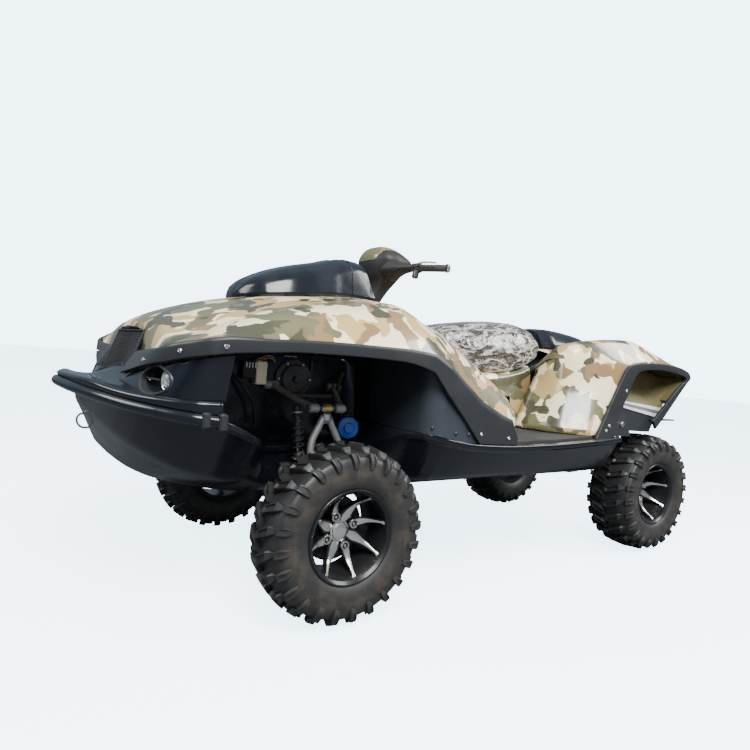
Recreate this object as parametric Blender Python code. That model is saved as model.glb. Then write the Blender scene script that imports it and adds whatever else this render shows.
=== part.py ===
"""Amphibious all-terrain vehicle: a planing hull with a quad bike's wheels and a water jet.

Metres. +X points forward, +Y to the vehicle's left, +Z up. The origin is on the ground,
under the middle of the vehicle, and the body is symmetric about y = 0. The pieces that move have
their origins on their joints' axes.
"""

from math import cos, pi, radians, sin

import bmesh
import bpy
import numpy as np
from mathutils import Matrix, Vector

# Driving dimensions
GAP = 0.0004
TYRE_R = 0.3175
BEAD_R = 0.155
FRONT_AXLE_X = 0.74
REAR_AXLE_X = -1.28
AXLE_Z = 0.3175
FRONT_WHEEL_Y = 0.613
REAR_WHEEL_Y = 0.513
FRONT_TYRE_W = 0.203
REAR_TYRE_W = 0.254
KINGPIN_Y = 0.46
LIP_T = 0.022
LIP_OUT = 0.02
RAIL_R = 0.018
DECK_LIP = 0.034
SKIN = 0.012
LUG_PITCHES = 24
LUG_H = 0.021
HOOD_COLUMNS = 11
DECK_HALF = 0.262 - GAP
DECK_CROWN = 0.040
DECK_LINES = (-1.0, -0.55, 0.0, 0.55, 1.0)
DECK_CROWN_Y = DECK_HALF * DECK_LINES[3]

STEER_BASE = Vector((0.27, 0.0, 1.205))
STEER_AXIS = Vector((-0.36, 0.0, 0.933))
FRONT_LID_HINGE = (0.976, 0.0, 1.140)
REAR_LID_HINGE = (-1.352, 0.0, 1.056)
SEAT_HINGE = (-0.028, 0.0, 1.090)
JET_Z = 0.43
TRANSOM_X = -1.32
NOZZLE_PIVOT_X = -1.372
BUCKET_PIVOT_X = -1.455
IMPELLER_X = -1.235
PIN_R = 0.0080
COLUMN_R = 0.030
LAMP_CENTRE = Vector((1.385, 0.490, 0.815))
LAMP_OUT = Vector((0.97, 0.243, 0.0))
LAMP_HALF_W, LAMP_HALF_H = 0.085, 0.040

# Name, colour, roughness, metallic
FINISHES = (
    ("gloss_black", (0.012, 0.014, 0.018), 0.18, 0.0),
    ("satin_black", (0.020, 0.020, 0.022), 0.45, 0.0),
    ("camouflage", (0.62, 0.55, 0.42), 0.35, 0.0),
    ("olive_shell", (0.20, 0.21, 0.11), 0.55, 0.0),
    ("grip_mat", (0.05, 0.045, 0.04), 0.80, 0.0),
    ("tyre_rubber", (0.030, 0.029, 0.028), 0.75, 0.0),
    ("machined_alloy", (0.62, 0.60, 0.58), 0.25, 1.0),
    ("dark_steel", (0.16, 0.155, 0.15), 0.40, 0.9),
    ("bright_steel", (0.70, 0.70, 0.70), 0.22, 1.0),
    ("dark_plastic", (0.045, 0.05, 0.055), 0.38, 0.0),
    ("seat_cover", (0.55, 0.54, 0.52), 0.30, 0.0),
    ("jet_alloy", (0.42, 0.42, 0.43), 0.40, 0.9),
)

MATERIALS = {}


def make_materials():
    for name, colour, roughness, metallic in FINISHES:
        material = bpy.data.materials.new(name)
        material.use_nodes = True
        shader = material.node_tree.nodes["Principled BSDF"]
        shader.inputs["Base Color"].default_value = (*colour, 1.0)
        shader.inputs["Roughness"].default_value = roughness
        shader.inputs["Metallic"].default_value = metallic
        material.diffuse_color = (*colour, 1.0)
        MATERIALS[name] = material


def clear_scene():
    for item in list(bpy.data.objects):
        bpy.data.objects.remove(item, do_unlink=True)


def solid(name, vertices, faces, finish, smooth=False):
    """A mesh object from vertices and faces, its doubles merged and its faces pointing out."""
    mesh = bpy.data.meshes.new(name)
    mesh.from_pydata([tuple(v) for v in vertices], [], faces)
    work = bmesh.new()
    work.from_mesh(mesh)
    bmesh.ops.remove_doubles(work, verts=work.verts, dist=1e-5)
    bmesh.ops.recalc_face_normals(work, faces=work.faces)
    if work.calc_volume(signed=True) < 0:
        bmesh.ops.reverse_faces(work, faces=work.faces)
    work.to_mesh(mesh)
    work.free()
    if smooth:
        mesh.shade_smooth()
        mesh.set_sharp_from_angle(angle=radians(35))
    mesh.materials.append(MATERIALS[finish])
    item = bpy.data.objects.new(name, mesh)
    bpy.context.scene.collection.objects.link(item)
    return item


def ring_faces(rings, count):
    """Quads between closed rings of count points each, with the two ends capped."""
    faces = []
    for i in range(rings - 1):
        for j in range(count):
            k = (j + 1) % count
            faces.append((i * count + j, i * count + k, (i + 1) * count + k, (i + 1) * count + j))
    faces.append(tuple(range(count)))
    faces.append(tuple((rings - 1) * count + j for j in range(count)))
    return faces


def loft(name, rings, finish):
    """A closed body through rings of points."""
    vertices = [point for ring in rings for point in ring]
    return solid(name, vertices, ring_faces(len(rings), len(rings[0])), finish)


def mirrored_ring(x, half):
    """A closed ring at x from a half section, (y, z) from the bottom centre to the top centre."""
    left = [(x, y, z) for y, z in half]
    right = [(x, -y, z) for y, z in reversed(half) if y > 1e-6]
    return left + right


def loft_x(name, sections, finish):
    """A symmetric body from (x, half section) pairs."""
    return loft(name, [mirrored_ring(x, half) for x, half in sections], finish)


def prism(name, outline, low, high, axis, finish):
    """An outline in the plane square to axis, extruded from low to high along it."""
    def place(a, b, c):
        return {"x": (c, a, b), "y": (a, c, b), "z": (a, b, c)}[axis]

    rings = [[place(a, b, level) for a, b in outline] for level in (low, high)]
    return loft(name, rings, finish)


def block(name, low, high, finish):
    outline = [(low[0], low[1]), (high[0], low[1]), (high[0], high[1]), (low[0], high[1])]
    return prism(name, outline, low[2], high[2], "z", finish)


def turned(name, profile, steps, centre, axis, finish, smooth=True):
    """A closed profile of (radius, along) turned about an axis through centre."""
    spin = Vector((0, 0, 1)).rotation_difference(Vector(axis)).to_matrix()
    vertices = []
    for i in range(steps):
        turn = 2 * pi * i / steps
        for r, h in profile:
            vertices.append(spin @ Vector((r * cos(turn), r * sin(turn), h)) + Vector(centre))
    count = len(profile)
    faces = []
    for i in range(steps):
        n = (i + 1) % steps
        for j in range(count):
            k = (j + 1) % count
            faces.append((i * count + j, i * count + k, n * count + k, n * count + j))
    return solid(name, vertices, faces, finish, smooth)


def rod(name, start, end, radius, finish, steps=10, end_radius=None):
    """A round bar between two points, optionally tapered."""
    start, end = Vector(start), Vector(end)
    spin = Vector((0, 0, 1)).rotation_difference(end - start).to_matrix()
    last = radius if end_radius is None else end_radius
    rings = []
    for centre, r in ((start, radius), (end, last)):
        ring = [
            centre + spin @ Vector((r * cos(2 * pi * i / steps), r * sin(2 * pi * i / steps), 0))
            for i in range(steps)
        ]
        rings.append([tuple(p) for p in ring])
    return loft(name, rings, finish)


def tube(name, points, radius, finish, sides=2):
    """A round bar along a list of points, with filled ends."""
    curve = bpy.data.curves.new(name, "CURVE")
    curve.dimensions = "3D"
    curve.bevel_depth = radius
    curve.bevel_resolution = sides
    curve.use_fill_caps = True
    line = curve.splines.new("POLY")
    line.points.add(len(points) - 1)
    for spot, point in zip(line.points, points):
        spot.co = (*point, 1.0)
    curve.materials.append(MATERIALS[finish])
    item = bpy.data.objects.new(name, curve)
    bpy.context.scene.collection.objects.link(item)
    return item


def evaluated_mesh(item):
    graph = bpy.context.evaluated_depsgraph_get()
    graph.update()
    return bpy.data.meshes.new_from_object(item.evaluated_get(graph))


def boolean(target, others, operation):
    """The target joined with, or cut by, the other bodies, which are then removed."""
    for other in others:
        if other.type == "CURVE":
            other_mesh = evaluated_mesh(other)
            curve = other
            other = bpy.data.objects.new(curve.name + "_mesh", other_mesh)
            bpy.context.scene.collection.objects.link(other)
            bpy.data.objects.remove(curve, do_unlink=True)
            work = bmesh.new()
            work.from_mesh(other_mesh)
            bmesh.ops.remove_doubles(work, verts=work.verts, dist=1e-6)
            bmesh.ops.recalc_face_normals(work, faces=work.faces)
            work.to_mesh(other_mesh)
            work.free()
        step = target.modifiers.new("step", "BOOLEAN")
        step.operation = operation
        step.object = other
        mesh = evaluated_mesh(target)
        target.modifiers.clear()
        target.data = mesh
        bpy.data.objects.remove(other, do_unlink=True)
    return target


def union(target, others):
    return boolean(target, others, "UNION")


def cut(target, others):
    return boolean(target, others, "DIFFERENCE")


def mirrored(item, name):
    """A copy of a left-hand body on the right."""
    mesh = item.data.copy()
    mesh.transform(Matrix.Scale(-1.0, 4, Vector((0, 1, 0))))
    mesh.flip_normals()
    copy = bpy.data.objects.new(name, mesh)
    copy.location = item.location * Vector((1, -1, 1))
    bpy.context.scene.collection.objects.link(copy)
    return copy


def both_sides(item):
    """Names a left-hand body and adds its right-hand twin."""
    twin = mirrored(item, item.name.replace("_left", "_right"))
    return item, twin


def rename(item, name):
    item.name = name
    item.data.name = name
    return item


def on_axis(item, pivot):
    """Moves a moving body's origin onto its joint's axis, and leaves its shape where it is."""
    item.data.transform(Matrix.Translation(-Vector(pivot)))
    item.location = pivot
    return item


def shell(name, grid, finish, thickness=SKIN):
    """A skin of one thickness under a grid of points, rows by columns."""
    grid = np.array(grid, float)
    rows, columns = grid.shape[:2]
    du = np.gradient(grid, axis=0)
    dv = np.gradient(grid, axis=1)
    normal = np.cross(du, dv)
    normal /= np.linalg.norm(normal, axis=2, keepdims=True)
    if (normal[..., 2].sum() + normal[..., 1].sum()) < 0:
        normal = -normal
    inner = grid - normal * thickness
    vertices = list(grid.reshape(-1, 3)) + list(inner.reshape(-1, 3))
    lower = rows * columns
    faces = []
    for i in range(rows - 1):
        for j in range(columns - 1):
            quad = (i * columns + j, i * columns + j + 1, (i + 1) * columns + j + 1, (i + 1) * columns + j)
            faces.append(quad)
            faces.append(tuple(lower + k for k in reversed(quad)))
    rim = [i * columns for i in range(rows)]
    rim += [(rows - 1) * columns + j for j in range(1, columns)]
    rim += [i * columns + columns - 1 for i in range(rows - 2, -1, -1)]
    rim += [j for j in range(columns - 2, 0, -1)]
    for a, b in zip(rim, rim[1:] + rim[:1]):
        faces.append((a, b, lower + b, lower + a))
    return solid(name, vertices, faces, finish)


def at(table, x, column):
    """A table's column read at x, its rows in order of rising first column."""
    xs = [row[0] for row in table]
    return float(np.interp(x, xs, [row[column] for row in table]))


# Hull stations: x, keel z, chine y, chine z, lip y, lip z
HULL = (
    (TRANSOM_X, 0.325, 0.300, 0.420, 0.335, 0.600),
    (-0.980, 0.310, 0.310, 0.420, 0.335, 0.600),
    (-0.930, 0.310, 0.330, 0.430, 0.350, 0.605),
    (-0.870, 0.310, 0.480, 0.455, 0.560, 0.615),
    (-0.820, 0.310, 0.585, 0.470, 0.680, 0.620),
    (-0.600, 0.310, 0.600, 0.470, 0.700, 0.612),
    (-0.320, 0.310, 0.600, 0.470, 0.700, 0.600),
    (-0.060, 0.310, 0.600, 0.470, 0.700, 0.596),
    (0.170, 0.310, 0.600, 0.470, 0.700, 0.605),
    (0.330, 0.310, 0.590, 0.470, 0.695, 0.628),
    (0.365, 0.311, 0.550, 0.470, 0.690, 0.636),
    (0.420, 0.313, 0.470, 0.460, 0.650, 0.645),
    (0.445, 0.314, 0.400, 0.450, 0.560, 0.630),
    (0.465, 0.315, 0.340, 0.430, 0.400, 0.575),
    (0.480, 0.315, 0.325, 0.420, 0.350, 0.560),
    (0.920, 0.330, 0.325, 0.430, 0.345, 0.555),
    (0.955, 0.335, 0.330, 0.440, 0.390, 0.565),
    (0.990, 0.342, 0.340, 0.450, 0.465, 0.590),
    (1.050, 0.352, 0.385, 0.460, 0.550, 0.620),
    (1.110, 0.366, 0.440, 0.475, 0.590, 0.650),
    (1.170, 0.382, 0.465, 0.490, 0.612, 0.676),
    (1.250, 0.408, 0.470, 0.515, 0.612, 0.690),
    (1.330, 0.448, 0.430, 0.550, 0.565, 0.700),
    (1.400, 0.502, 0.350, 0.590, 0.475, 0.710),
    (1.450, 0.556, 0.250, 0.630, 0.380, 0.718),
    (1.490, 0.645, 0.130, 0.668, 0.260, 0.727),
    (1.513, 0.690, 0.050, 0.700, 0.110, 0.734),
)

# Bow rail centre line: x, y, z, from the clamp at the wheel arch to the tip
RAIL = (
    (1.215, 0.662, 0.707),
    (1.290, 0.640, 0.714),
    (1.367, 0.560, 0.722),
    (1.437, 0.460, 0.732),
    (1.484, 0.370, 0.742),
    (1.528, 0.260, 0.752),
    (1.565, 0.120, 0.762),
    (1.5795, 0.000, 0.767),
)

# Bow deck: x, half width, edge top z, platform z
BOW_DECK = (
    (1.215, 0.668, 0.768, 0.850),
    (1.290, 0.650, 0.768, 0.850),
    (1.367, 0.575, 0.768, 0.840),
    (1.437, 0.475, 0.773, 0.812),
    (1.484, 0.385, 0.782, 0.795),
    (1.528, 0.275, 0.797, 0.795),
    (1.560, 0.145, 0.800, 0.796),
    (1.580, 0.050, 0.802, 0.797),
)

# Edge of the body under the front trim band, from its foot on the running board round the nose to the
# mouth: how far along, low x, y, z, top x, y, z
FRONT_BAND = (
    (-0.055, -0.055, 0.6750, 0.6187, -0.055, 0.6750, 0.655),
    (-0.020, -0.020, 0.6758, 0.6200, -0.020, 0.6758, 0.722),
    (0.042, 0.042, 0.6772, 0.6224, 0.042, 0.6772, 0.742),
    (0.165, 0.165, 0.6800, 0.6272, 0.165, 0.6800, 0.796),
    (0.272, 0.272, 0.6948, 0.7280, 0.272, 0.6948, 0.862),
    (0.368, 0.368, 0.7080, 0.8120, 0.368, 0.7080, 0.924),
    (0.452, 0.452, 0.7120, 0.8980, 0.452, 0.7120, 0.962),
    (0.620, 0.620, 0.7200, 0.9300, 0.620, 0.7200, 0.972),
    (0.819, 0.819, 0.7200, 0.9340, 0.819, 0.7200, 0.972),
    (1.003, 1.003, 0.7200, 0.9320, 1.003, 0.7200, 0.968),
    (1.100, 1.100, 0.7200, 0.9245, 1.100, 0.7200, 0.9625),
    (1.200, 1.2015, 0.7073, 0.9153, 1.2045, 0.7073, 0.9607),
    (1.270, 1.2650, 0.6887, 0.9043, 1.2680, 0.6867, 0.9514),
    (1.310, 1.2990, 0.6555, 0.8955, 1.2960, 0.6600, 0.9432),
    (1.370, 1.3285, 0.6043, 0.8847, 1.3270, 0.6074, 0.9332),
    (1.430, 1.3550, 0.5520, 0.8720, 1.3517, 0.5586, 0.9213),
    (1.510, 1.3695, 0.4670, 0.8600, 1.3610, 0.4790, 0.9090),
    (1.580, 1.3820, 0.3980, 0.8490, 1.3600, 0.4200, 0.9050),
    (1.690, 1.3940, 0.3180, 0.8340, 1.3560, 0.3100, 0.8980),
    (1.790, 1.4070, 0.2170, 0.8150, 1.3580, 0.2170, 0.8910),
)

# Hood along the middle: x, crest z, shoulder y, shoulder z
HOOD = (
    (0.000, 1.106, 0.270, 1.050),
    (0.060, 1.130, 0.300, 1.060),
    (0.200, 1.170, 0.380, 1.078),
    (0.350, 1.192, 0.470, 1.100),
    (0.513, 1.190, 0.500, 1.147),
    (0.720, 1.172, 0.500, 1.128),
    (0.897, 1.150, 0.500, 1.094),
    (1.053, 1.118, 0.500, 1.050),
    (1.152, 1.090, 0.500, 1.018),
    (1.235, 1.061, 0.497, 0.978),
    (1.285, 1.040, 0.494, 0.966),
    (1.325, 1.014, 0.487, 0.954),
)

# Hood's front edge from the centre line outwards: over the mouth, down its side, along the trim: x, y, z
HOOD_LIP = (
    (1.358, 0.000, 0.984),
    (1.354, 0.105, 0.979),
    (1.345, 0.205, 0.968),
    (1.357, 0.228, 0.893),
    (1.358, 0.350, 0.9005),
    (1.361, 0.466, 0.9105),
)

# Outer fender panel, between the shoulder and the trim: shoulder x, y, z, how far along the band
FENDER = (
    (-0.150, 0.560, 0.764, -0.045),
    (-0.040, 0.545, 0.850, -0.005),
    (0.093, 0.530, 0.944, 0.060),
    (0.214, 0.515, 1.026, 0.170),
    (0.300, 0.505, 1.072, 0.272),
    (0.400, 0.503, 1.100, 0.368),
    (0.513, 0.503, 1.147, 0.470),
    (0.720, 0.503, 1.128, 0.700),
    (0.897, 0.503, 1.094, 0.897),
    (1.053, 0.503, 1.050, 1.060),
    (1.152, 0.503, 1.018, 1.150),
    (1.235, 0.500, 0.978, 1.200),
    (1.285, 0.497, 0.966, 1.270),
    (1.323, 0.492, 0.955, 1.310),
    (1.345, 0.485, 0.944, 1.370),
    (1.356, 0.481, 0.930, 1.420),
    (1.3600, 0.476, 0.9175, 1.460),
)

# Rear fender grid: rows from the foot of its front face to the tail, four points a row
REAR_FENDER = (
    ((-0.476, 0.280, 0.630), (-0.482, 0.390, 0.630), (-0.508, 0.490, 0.630), (-0.616, 0.630, 0.630)),
    ((-0.585, 0.280, 0.860), (-0.575, 0.390, 0.862), (-0.590, 0.490, 0.864), (-0.775, 0.635, 0.866)),
    ((-0.660, 0.262, 0.985), (-0.612, 0.390, 1.060), (-0.640, 0.500, 1.066), (-0.890, 0.637, 1.005)),
    ((-0.770, 0.262, 1.030), (-0.750, 0.390, 1.104), (-0.770, 0.530, 1.118), (-0.975, 0.640, 1.022)),
    ((-1.000, 0.262, 1.050), (-1.000, 0.400, 1.126), (-1.000, 0.560, 1.138), (-1.080, 0.6423, 1.030)),
    ((-1.200, 0.262, 1.040), (-1.200, 0.400, 1.088), (-1.200, 0.560, 1.096), (-1.220, 0.6423, 1.030)),
    ((-1.400, 0.262, 1.000), (-1.400, 0.400, 1.026), (-1.400, 0.540, 1.030), (-1.370, 0.6423, 1.016)),
    ((-1.470, 0.262, 0.965), (-1.470, 0.400, 0.976), (-1.470, 0.520, 0.980), (-1.455, 0.640, 0.982)),
)

# Rear arch trim: outer x, outer z, inner x, inner z, over the arch from foot to tail leg
REAR_TRIM = (
    (-0.650, 0.6363, -0.770, 0.6407),
    (-0.765, 0.840, -0.865, 0.830),
    (-0.880, 1.000, -0.955, 0.965),
    (-0.960, 1.016, -1.010, 0.983),
    (-1.147, 1.027, -1.170, 0.992),
    (-1.300, 1.022, -1.300, 0.984),
    (-1.430, 1.000, -1.405, 0.968),
    (-1.456, 0.986, -1.424, 0.956),
    (-1.467, 0.964, -1.420, 0.946),
    (-1.440, 0.939, -1.404, 0.940),
    (-1.335, 0.841, -1.303, 0.868),
    (-1.228, 0.739, -1.198, 0.779),
    (-1.160, 0.682, -1.130, 0.724),
)

# Seat: x, top z, half width
SEAT = (
    (-0.750, 1.120, 0.180),
    (-0.680, 1.170, 0.200),
    (-0.560, 1.180, 0.215),
    (-0.400, 1.168, 0.215),
    (-0.230, 1.144, 0.195),
    (-0.110, 1.122, 0.165),
    (-0.030, 1.085, 0.120),
)

# Front lid, the black cowl: x, top z, half width
FRONT_LID = (
    (0.425, 1.362, 0.170),
    (0.513, 1.364, 0.190),
    (0.615, 1.336, 0.205),
    (0.760, 1.296, 0.205),
    (0.885, 1.246, 0.170),
    (0.945, 1.205, 0.110),
    (0.975, 1.152, 0.040),
)

# Tunnel under the seat: x, top z, top half width, bottom half width
TUNNEL = (
    (-0.640, 0.960, 0.220, 0.250),
    (-0.560, 0.932, 0.225, 0.255),
    (-0.400, 0.907, 0.225, 0.258),
    (-0.230, 0.917, 0.215, 0.262),
    (-0.120, 0.972, 0.200, 0.266),
    (-0.045, 1.020, 0.190, 0.268),
    (0.120, 1.103, 0.200, 0.270),
    (0.400, 1.150, 0.200, 0.270),
)


def hull_top(x):
    return at(HULL, x, 5) + LIP_T


def stations_on_hull(table):
    """A table's stations with the hull's own stations between them, so that both follow each other."""
    first, last = table[0][0], table[-1][0]
    return sorted({row[0] for row in table} | {row[0] for row in HULL if first < row[0] < last})


def make_hull():
    sections = []
    for x, keel, chine_y, chine_z, lip_y, lip_z in HULL:
        half = [
            (0.0, keel),
            (chine_y, chine_z),
            (lip_y - LIP_OUT, lip_z - 0.004),
            (lip_y, lip_z),
            (lip_y, lip_z + LIP_T),
            (0.0, lip_z + LIP_T),
        ]
        sections.append((x, half))
    hull = loft_x("hull", sections, "gloss_black")
    engine_bay = block("bay", (-0.560, -0.205, 0.385), (0.180, 0.205, 0.750), "gloss_black")
    duct = rod("duct", (TRANSOM_X - 0.05, 0, JET_Z), (TRANSOM_X + 0.16, 0, JET_Z), 0.082, "gloss_black", 16)
    intake = prism(
        "intake",
        [(TRANSOM_X + 0.10, JET_Z), (TRANSOM_X + 0.155, JET_Z), (-0.93, 0.28), (-1.10, 0.28)],
        -0.055,
        0.055,
        "y",
        "gloss_black",
    )
    return cut(hull, [engine_bay, duct, intake])


def make_bow_rail():
    left = [(x, y, z) for x, y, z in RAIL]
    right = [(x, -y, z) for x, y, z in reversed(RAIL[:-1])]
    return tube("bow_rail", left + right, RAIL_R, "gloss_black", 2)


def rail_slope(x):
    """How far the rail moves sideways for each metre forward, at x."""
    for near, far in zip(RAIL, RAIL[1:]):
        if x <= far[0]:
            return (near[1] - far[1]) / (far[0] - near[0])
    return 10.0


def make_bow_deck():
    """Platform that lies on the hull and laps over the rail."""
    sections = []
    stations = {row[0] for row in BOW_DECK} | {row[0] for row in HULL if row[0] > 1.22}
    for x in sorted(stations):
        half_y, edge_z, platform_z = (at(BOW_DECK, x, column) for column in (1, 2, 3))
        rail_top = at(RAIL, x if x < 1.50 else RAIL[-1][0], 2) + RAIL_R + 0.0009
        inner = at(RAIL, x, 1) - RAIL_R * (1 + rail_slope(x) ** 2) ** 0.5 - 0.004
        step = rail_top if x > 1.46 else hull_top(x) + GAP
        inner = max(inner, 0.03) if x < 1.46 else 0.02
        half = [
            (0.0, step),
            (inner - 0.004, step),
            (inner, rail_top),
            (half_y, rail_top),
            (half_y + 0.004, edge_z - 0.008),
            (half_y - 0.006, edge_z),
            (max(half_y - DECK_LIP, 0.03), min(edge_z, platform_z) - 0.004),
            (0.0, platform_z),
        ]
        sections.append((x, half))
    return loft_x("bow_deck", sections, "gloss_black")


def bow_deck_z(x, y):
    """Height of the bow deck's top face at x and y."""
    half_y, edge_z, platform_z = (at(BOW_DECK, x, column) for column in (1, 2, 3))
    side_z = min(edge_z, platform_z) - 0.004
    inside = half_y - DECK_LIP
    if abs(y) > inside:
        return edge_z
    return platform_z + (side_z - platform_z) * abs(y) / inside


def stem_x(z):
    """Where the stem stands at a height."""
    stem = [(row[1], row[0]) for row in HULL if row[0] > 1.0]
    return float(np.interp(z, *zip(*stem)))


def make_bow_eye():
    """The towing eye on the stem, a bent rod whose two ends meet the hull."""
    low, high = 0.598, 0.648
    reach = 1.508
    on_stem = 0.0020
    bend = [(stem_x(low) + on_stem, 0.0, low), (reach - 0.014, 0.0, low + 0.001)]
    bend += [(reach, 0.0, low + 0.016), (reach + 0.002, 0.0, high - 0.014)]
    bend += [(reach - 0.008, 0.0, high - 0.001), (stem_x(high) + on_stem, 0.0, high)]
    return tube("bow_eye", bend, 0.004, "bright_steel", 1)


def hood_z(x, y):
    crest = at(HOOD, x, 1)
    shoulder_y = at(HOOD, x, 2)
    shoulder_z = at(HOOD, x, 3)
    across = min(abs(y) / shoulder_y, 1.0)
    return crest - (crest - shoulder_z) * across ** 2.2


def hood_face_z(x, y):
    """Height of the hood's own flat faces, which the lid lies on, at x and y."""
    half = at(HOOD, x, 2)
    step = 2 * half / (HOOD_COLUMNS - 1)
    edge = int(abs(y) / step)
    inside, outside = hood_z(x, edge * step), hood_z(x, min((edge + 1) * step, half))
    return inside + (outside - inside) * (abs(y) / step - edge)


def make_hood():
    rows = []
    across = np.linspace(-1, 1, HOOD_COLUMNS)
    for x, crest, shoulder_y, shoulder_z in HOOD:
        rows.append([(x, shoulder_y * t, hood_z(x, shoulder_y * t)) for t in across])
    rows.append([(x, -y, z) for x, y, z in reversed(HOOD_LIP[1:])] + list(HOOD_LIP))
    hood = shell("hood", rows, "camouflage")
    bin_hole = block("bin_hole", (0.500, -0.152, 1.05), (0.830, 0.152, 1.30), "camouflage")
    low_end, high_end = STEER_BASE - STEER_AXIS * 0.12, STEER_BASE + STEER_AXIS * 0.1
    column_hole = rod("column_hole", low_end, high_end, COLUMN_R + 0.004, "camouflage", 12)
    return cut(hood, [bin_hole, column_hole])


def band_edge(along, column):
    """The body's edge that far along the front band: its low line from column 1, its top from 4."""
    return Vector([at(FRONT_BAND, along, column + i) for i in range(3)])


def make_front_fender():
    rows = []
    for x, y, z, along in FENDER:
        edge = band_edge(along, 4)
        top = Vector((x, y, z))
        row = []
        for t in (0.0, 0.35, 0.7, 1.0):
            bulge = 0.030 * sin(pi * t) * min(1.0, (top.z - edge.z) / 0.12)
            point = top.lerp(edge, t) + Vector((0, bulge * 0.6, bulge))
            row.append(tuple(point))
        rows.append(row)
    return both_sides(shell("front_fender_left", rows, "camouflage"))


def make_front_trim():
    """The black band: an inner and an outer face a few millimetres apart, following the body's edge."""
    clear, low_out, top_out = 0.0010, 0.0150, 0.0110
    lap = Vector((0, 0, 0.004))
    path = [band_edge(row[0], 1) + band_edge(row[0], 4) for row in FRONT_BAND]
    rings = []
    for i, row in enumerate(FRONT_BAND):
        low, top = band_edge(row[0], 1), band_edge(row[0], 4) + lap
        step = path[min(i + 1, len(path) - 1)] - path[max(i - 1, 0)]
        out = Vector((-step.y, step.x, 0)).normalized()
        ring = (low + out * clear, low + out * low_out, top + out * top_out, top + out * clear)
        rings.append([tuple(p) for p in ring])
    return both_sides(loft("front_trim_left", rings, "satin_black"))


def make_side_panel():
    """Wall between running board and trim, turned inwards as the wheel arch's rear bulkhead."""
    # x, y, top z
    plan = (
        (0.060, 0.676, 0.715),
        (0.165, 0.679, 0.762),
        (0.272, 0.693, 0.826),
        (0.355, 0.696, 0.886),
        (0.400, 0.676, 0.910),
        (0.428, 0.620, 0.930),
        (0.432, 0.520, 0.960),
        (0.430, 0.400, 0.965),
        (0.428, 0.285, 0.965),
    )
    wall = 0.012
    rings = []
    for i, (x, y, top) in enumerate(plan):
        before = plan[max(i - 1, 0)]
        after = plan[min(i + 1, len(plan) - 1)]
        along = Vector((after[0] - before[0], after[1] - before[1])).normalized()
        inward = Vector((-abs(along.y), -abs(along.x))) * wall
        low = max(hull_top(x + step) for step in (-0.03, -0.015, 0.0, 0.015, 0.03)) + 0.0012
        in_x, in_y = x + inward.x, y + inward.y
        rings.append([(x, y, low), (x, y, top), (in_x, in_y, top), (in_x, in_y, low)])
    return both_sides(loft("side_panel_left", rings, "gloss_black"))


def make_cheek():
    """Front wall between bow deck and trim, with the oval lamp opening through it."""
    # x, y at the bottom, x, y, z at the top
    plan = (
        (1.205, 0.656, 1.2015, 0.700, 0.911),
        (1.275, 0.646, 1.262, 0.684, 0.900),
        (1.322, 0.612, 1.297, 0.650, 0.891),
        (1.358, 0.562, 1.326, 0.600, 0.880),
        (1.383, 0.510, 1.352, 0.548, 0.868),
        (1.396, 0.450, 1.366, 0.463, 0.856),
        (1.407, 0.380, 1.379, 0.396, 0.845),
        (1.415, 0.300, 1.391, 0.316, 0.830),
        (1.422, 0.220, 1.403, 0.219, 0.811),
    )
    wall = 0.030
    # Height over the bow deck: on its lip, and inside it, where its faces bend
    on_lip, inside_lip = 0.0006, 0.0030
    rings = []
    for i, (low_x, low_y, top_x, top_y, top_z) in enumerate(plan):
        before = plan[max(i - 1, 0)]
        after = plan[min(i + 1, len(plan) - 1)]
        along = Vector((after[0] - before[0], after[1] - before[1])).normalized()
        inward = Vector((-abs(along.y), -abs(along.x))) * wall
        feet = [(low_x, low_y), (low_x + inward.x, low_y + inward.y)]
        rests = [on_lip if y > at(BOW_DECK, x, 1) - DECK_LIP else inside_lip for x, y in feet]
        outer, inner = [(x, y, bow_deck_z(x, y) + rest) for (x, y), rest in zip(feet, rests)]
        rings.append([outer, (top_x, top_y, top_z), (top_x + inward.x, top_y + inward.y, top_z), inner])
    cheek = loft("cheek_left", rings, "gloss_black")
    out = LAMP_OUT.normalized()
    side = Vector((-out.y, out.x, 0.0))
    turns = np.linspace(0, 2 * pi, 24, endpoint=False)
    oval = [side * (LAMP_HALF_W * cos(turn)) + Vector((0, 0, LAMP_HALF_H * sin(turn))) for turn in turns]
    ends = [[tuple(LAMP_CENTRE + out * reach + p) for p in oval] for reach in (-0.12, 0.12)]
    hole = loft("lamp_hole", ends, "gloss_black")
    return both_sides(cut(cheek, [hole]))


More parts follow.
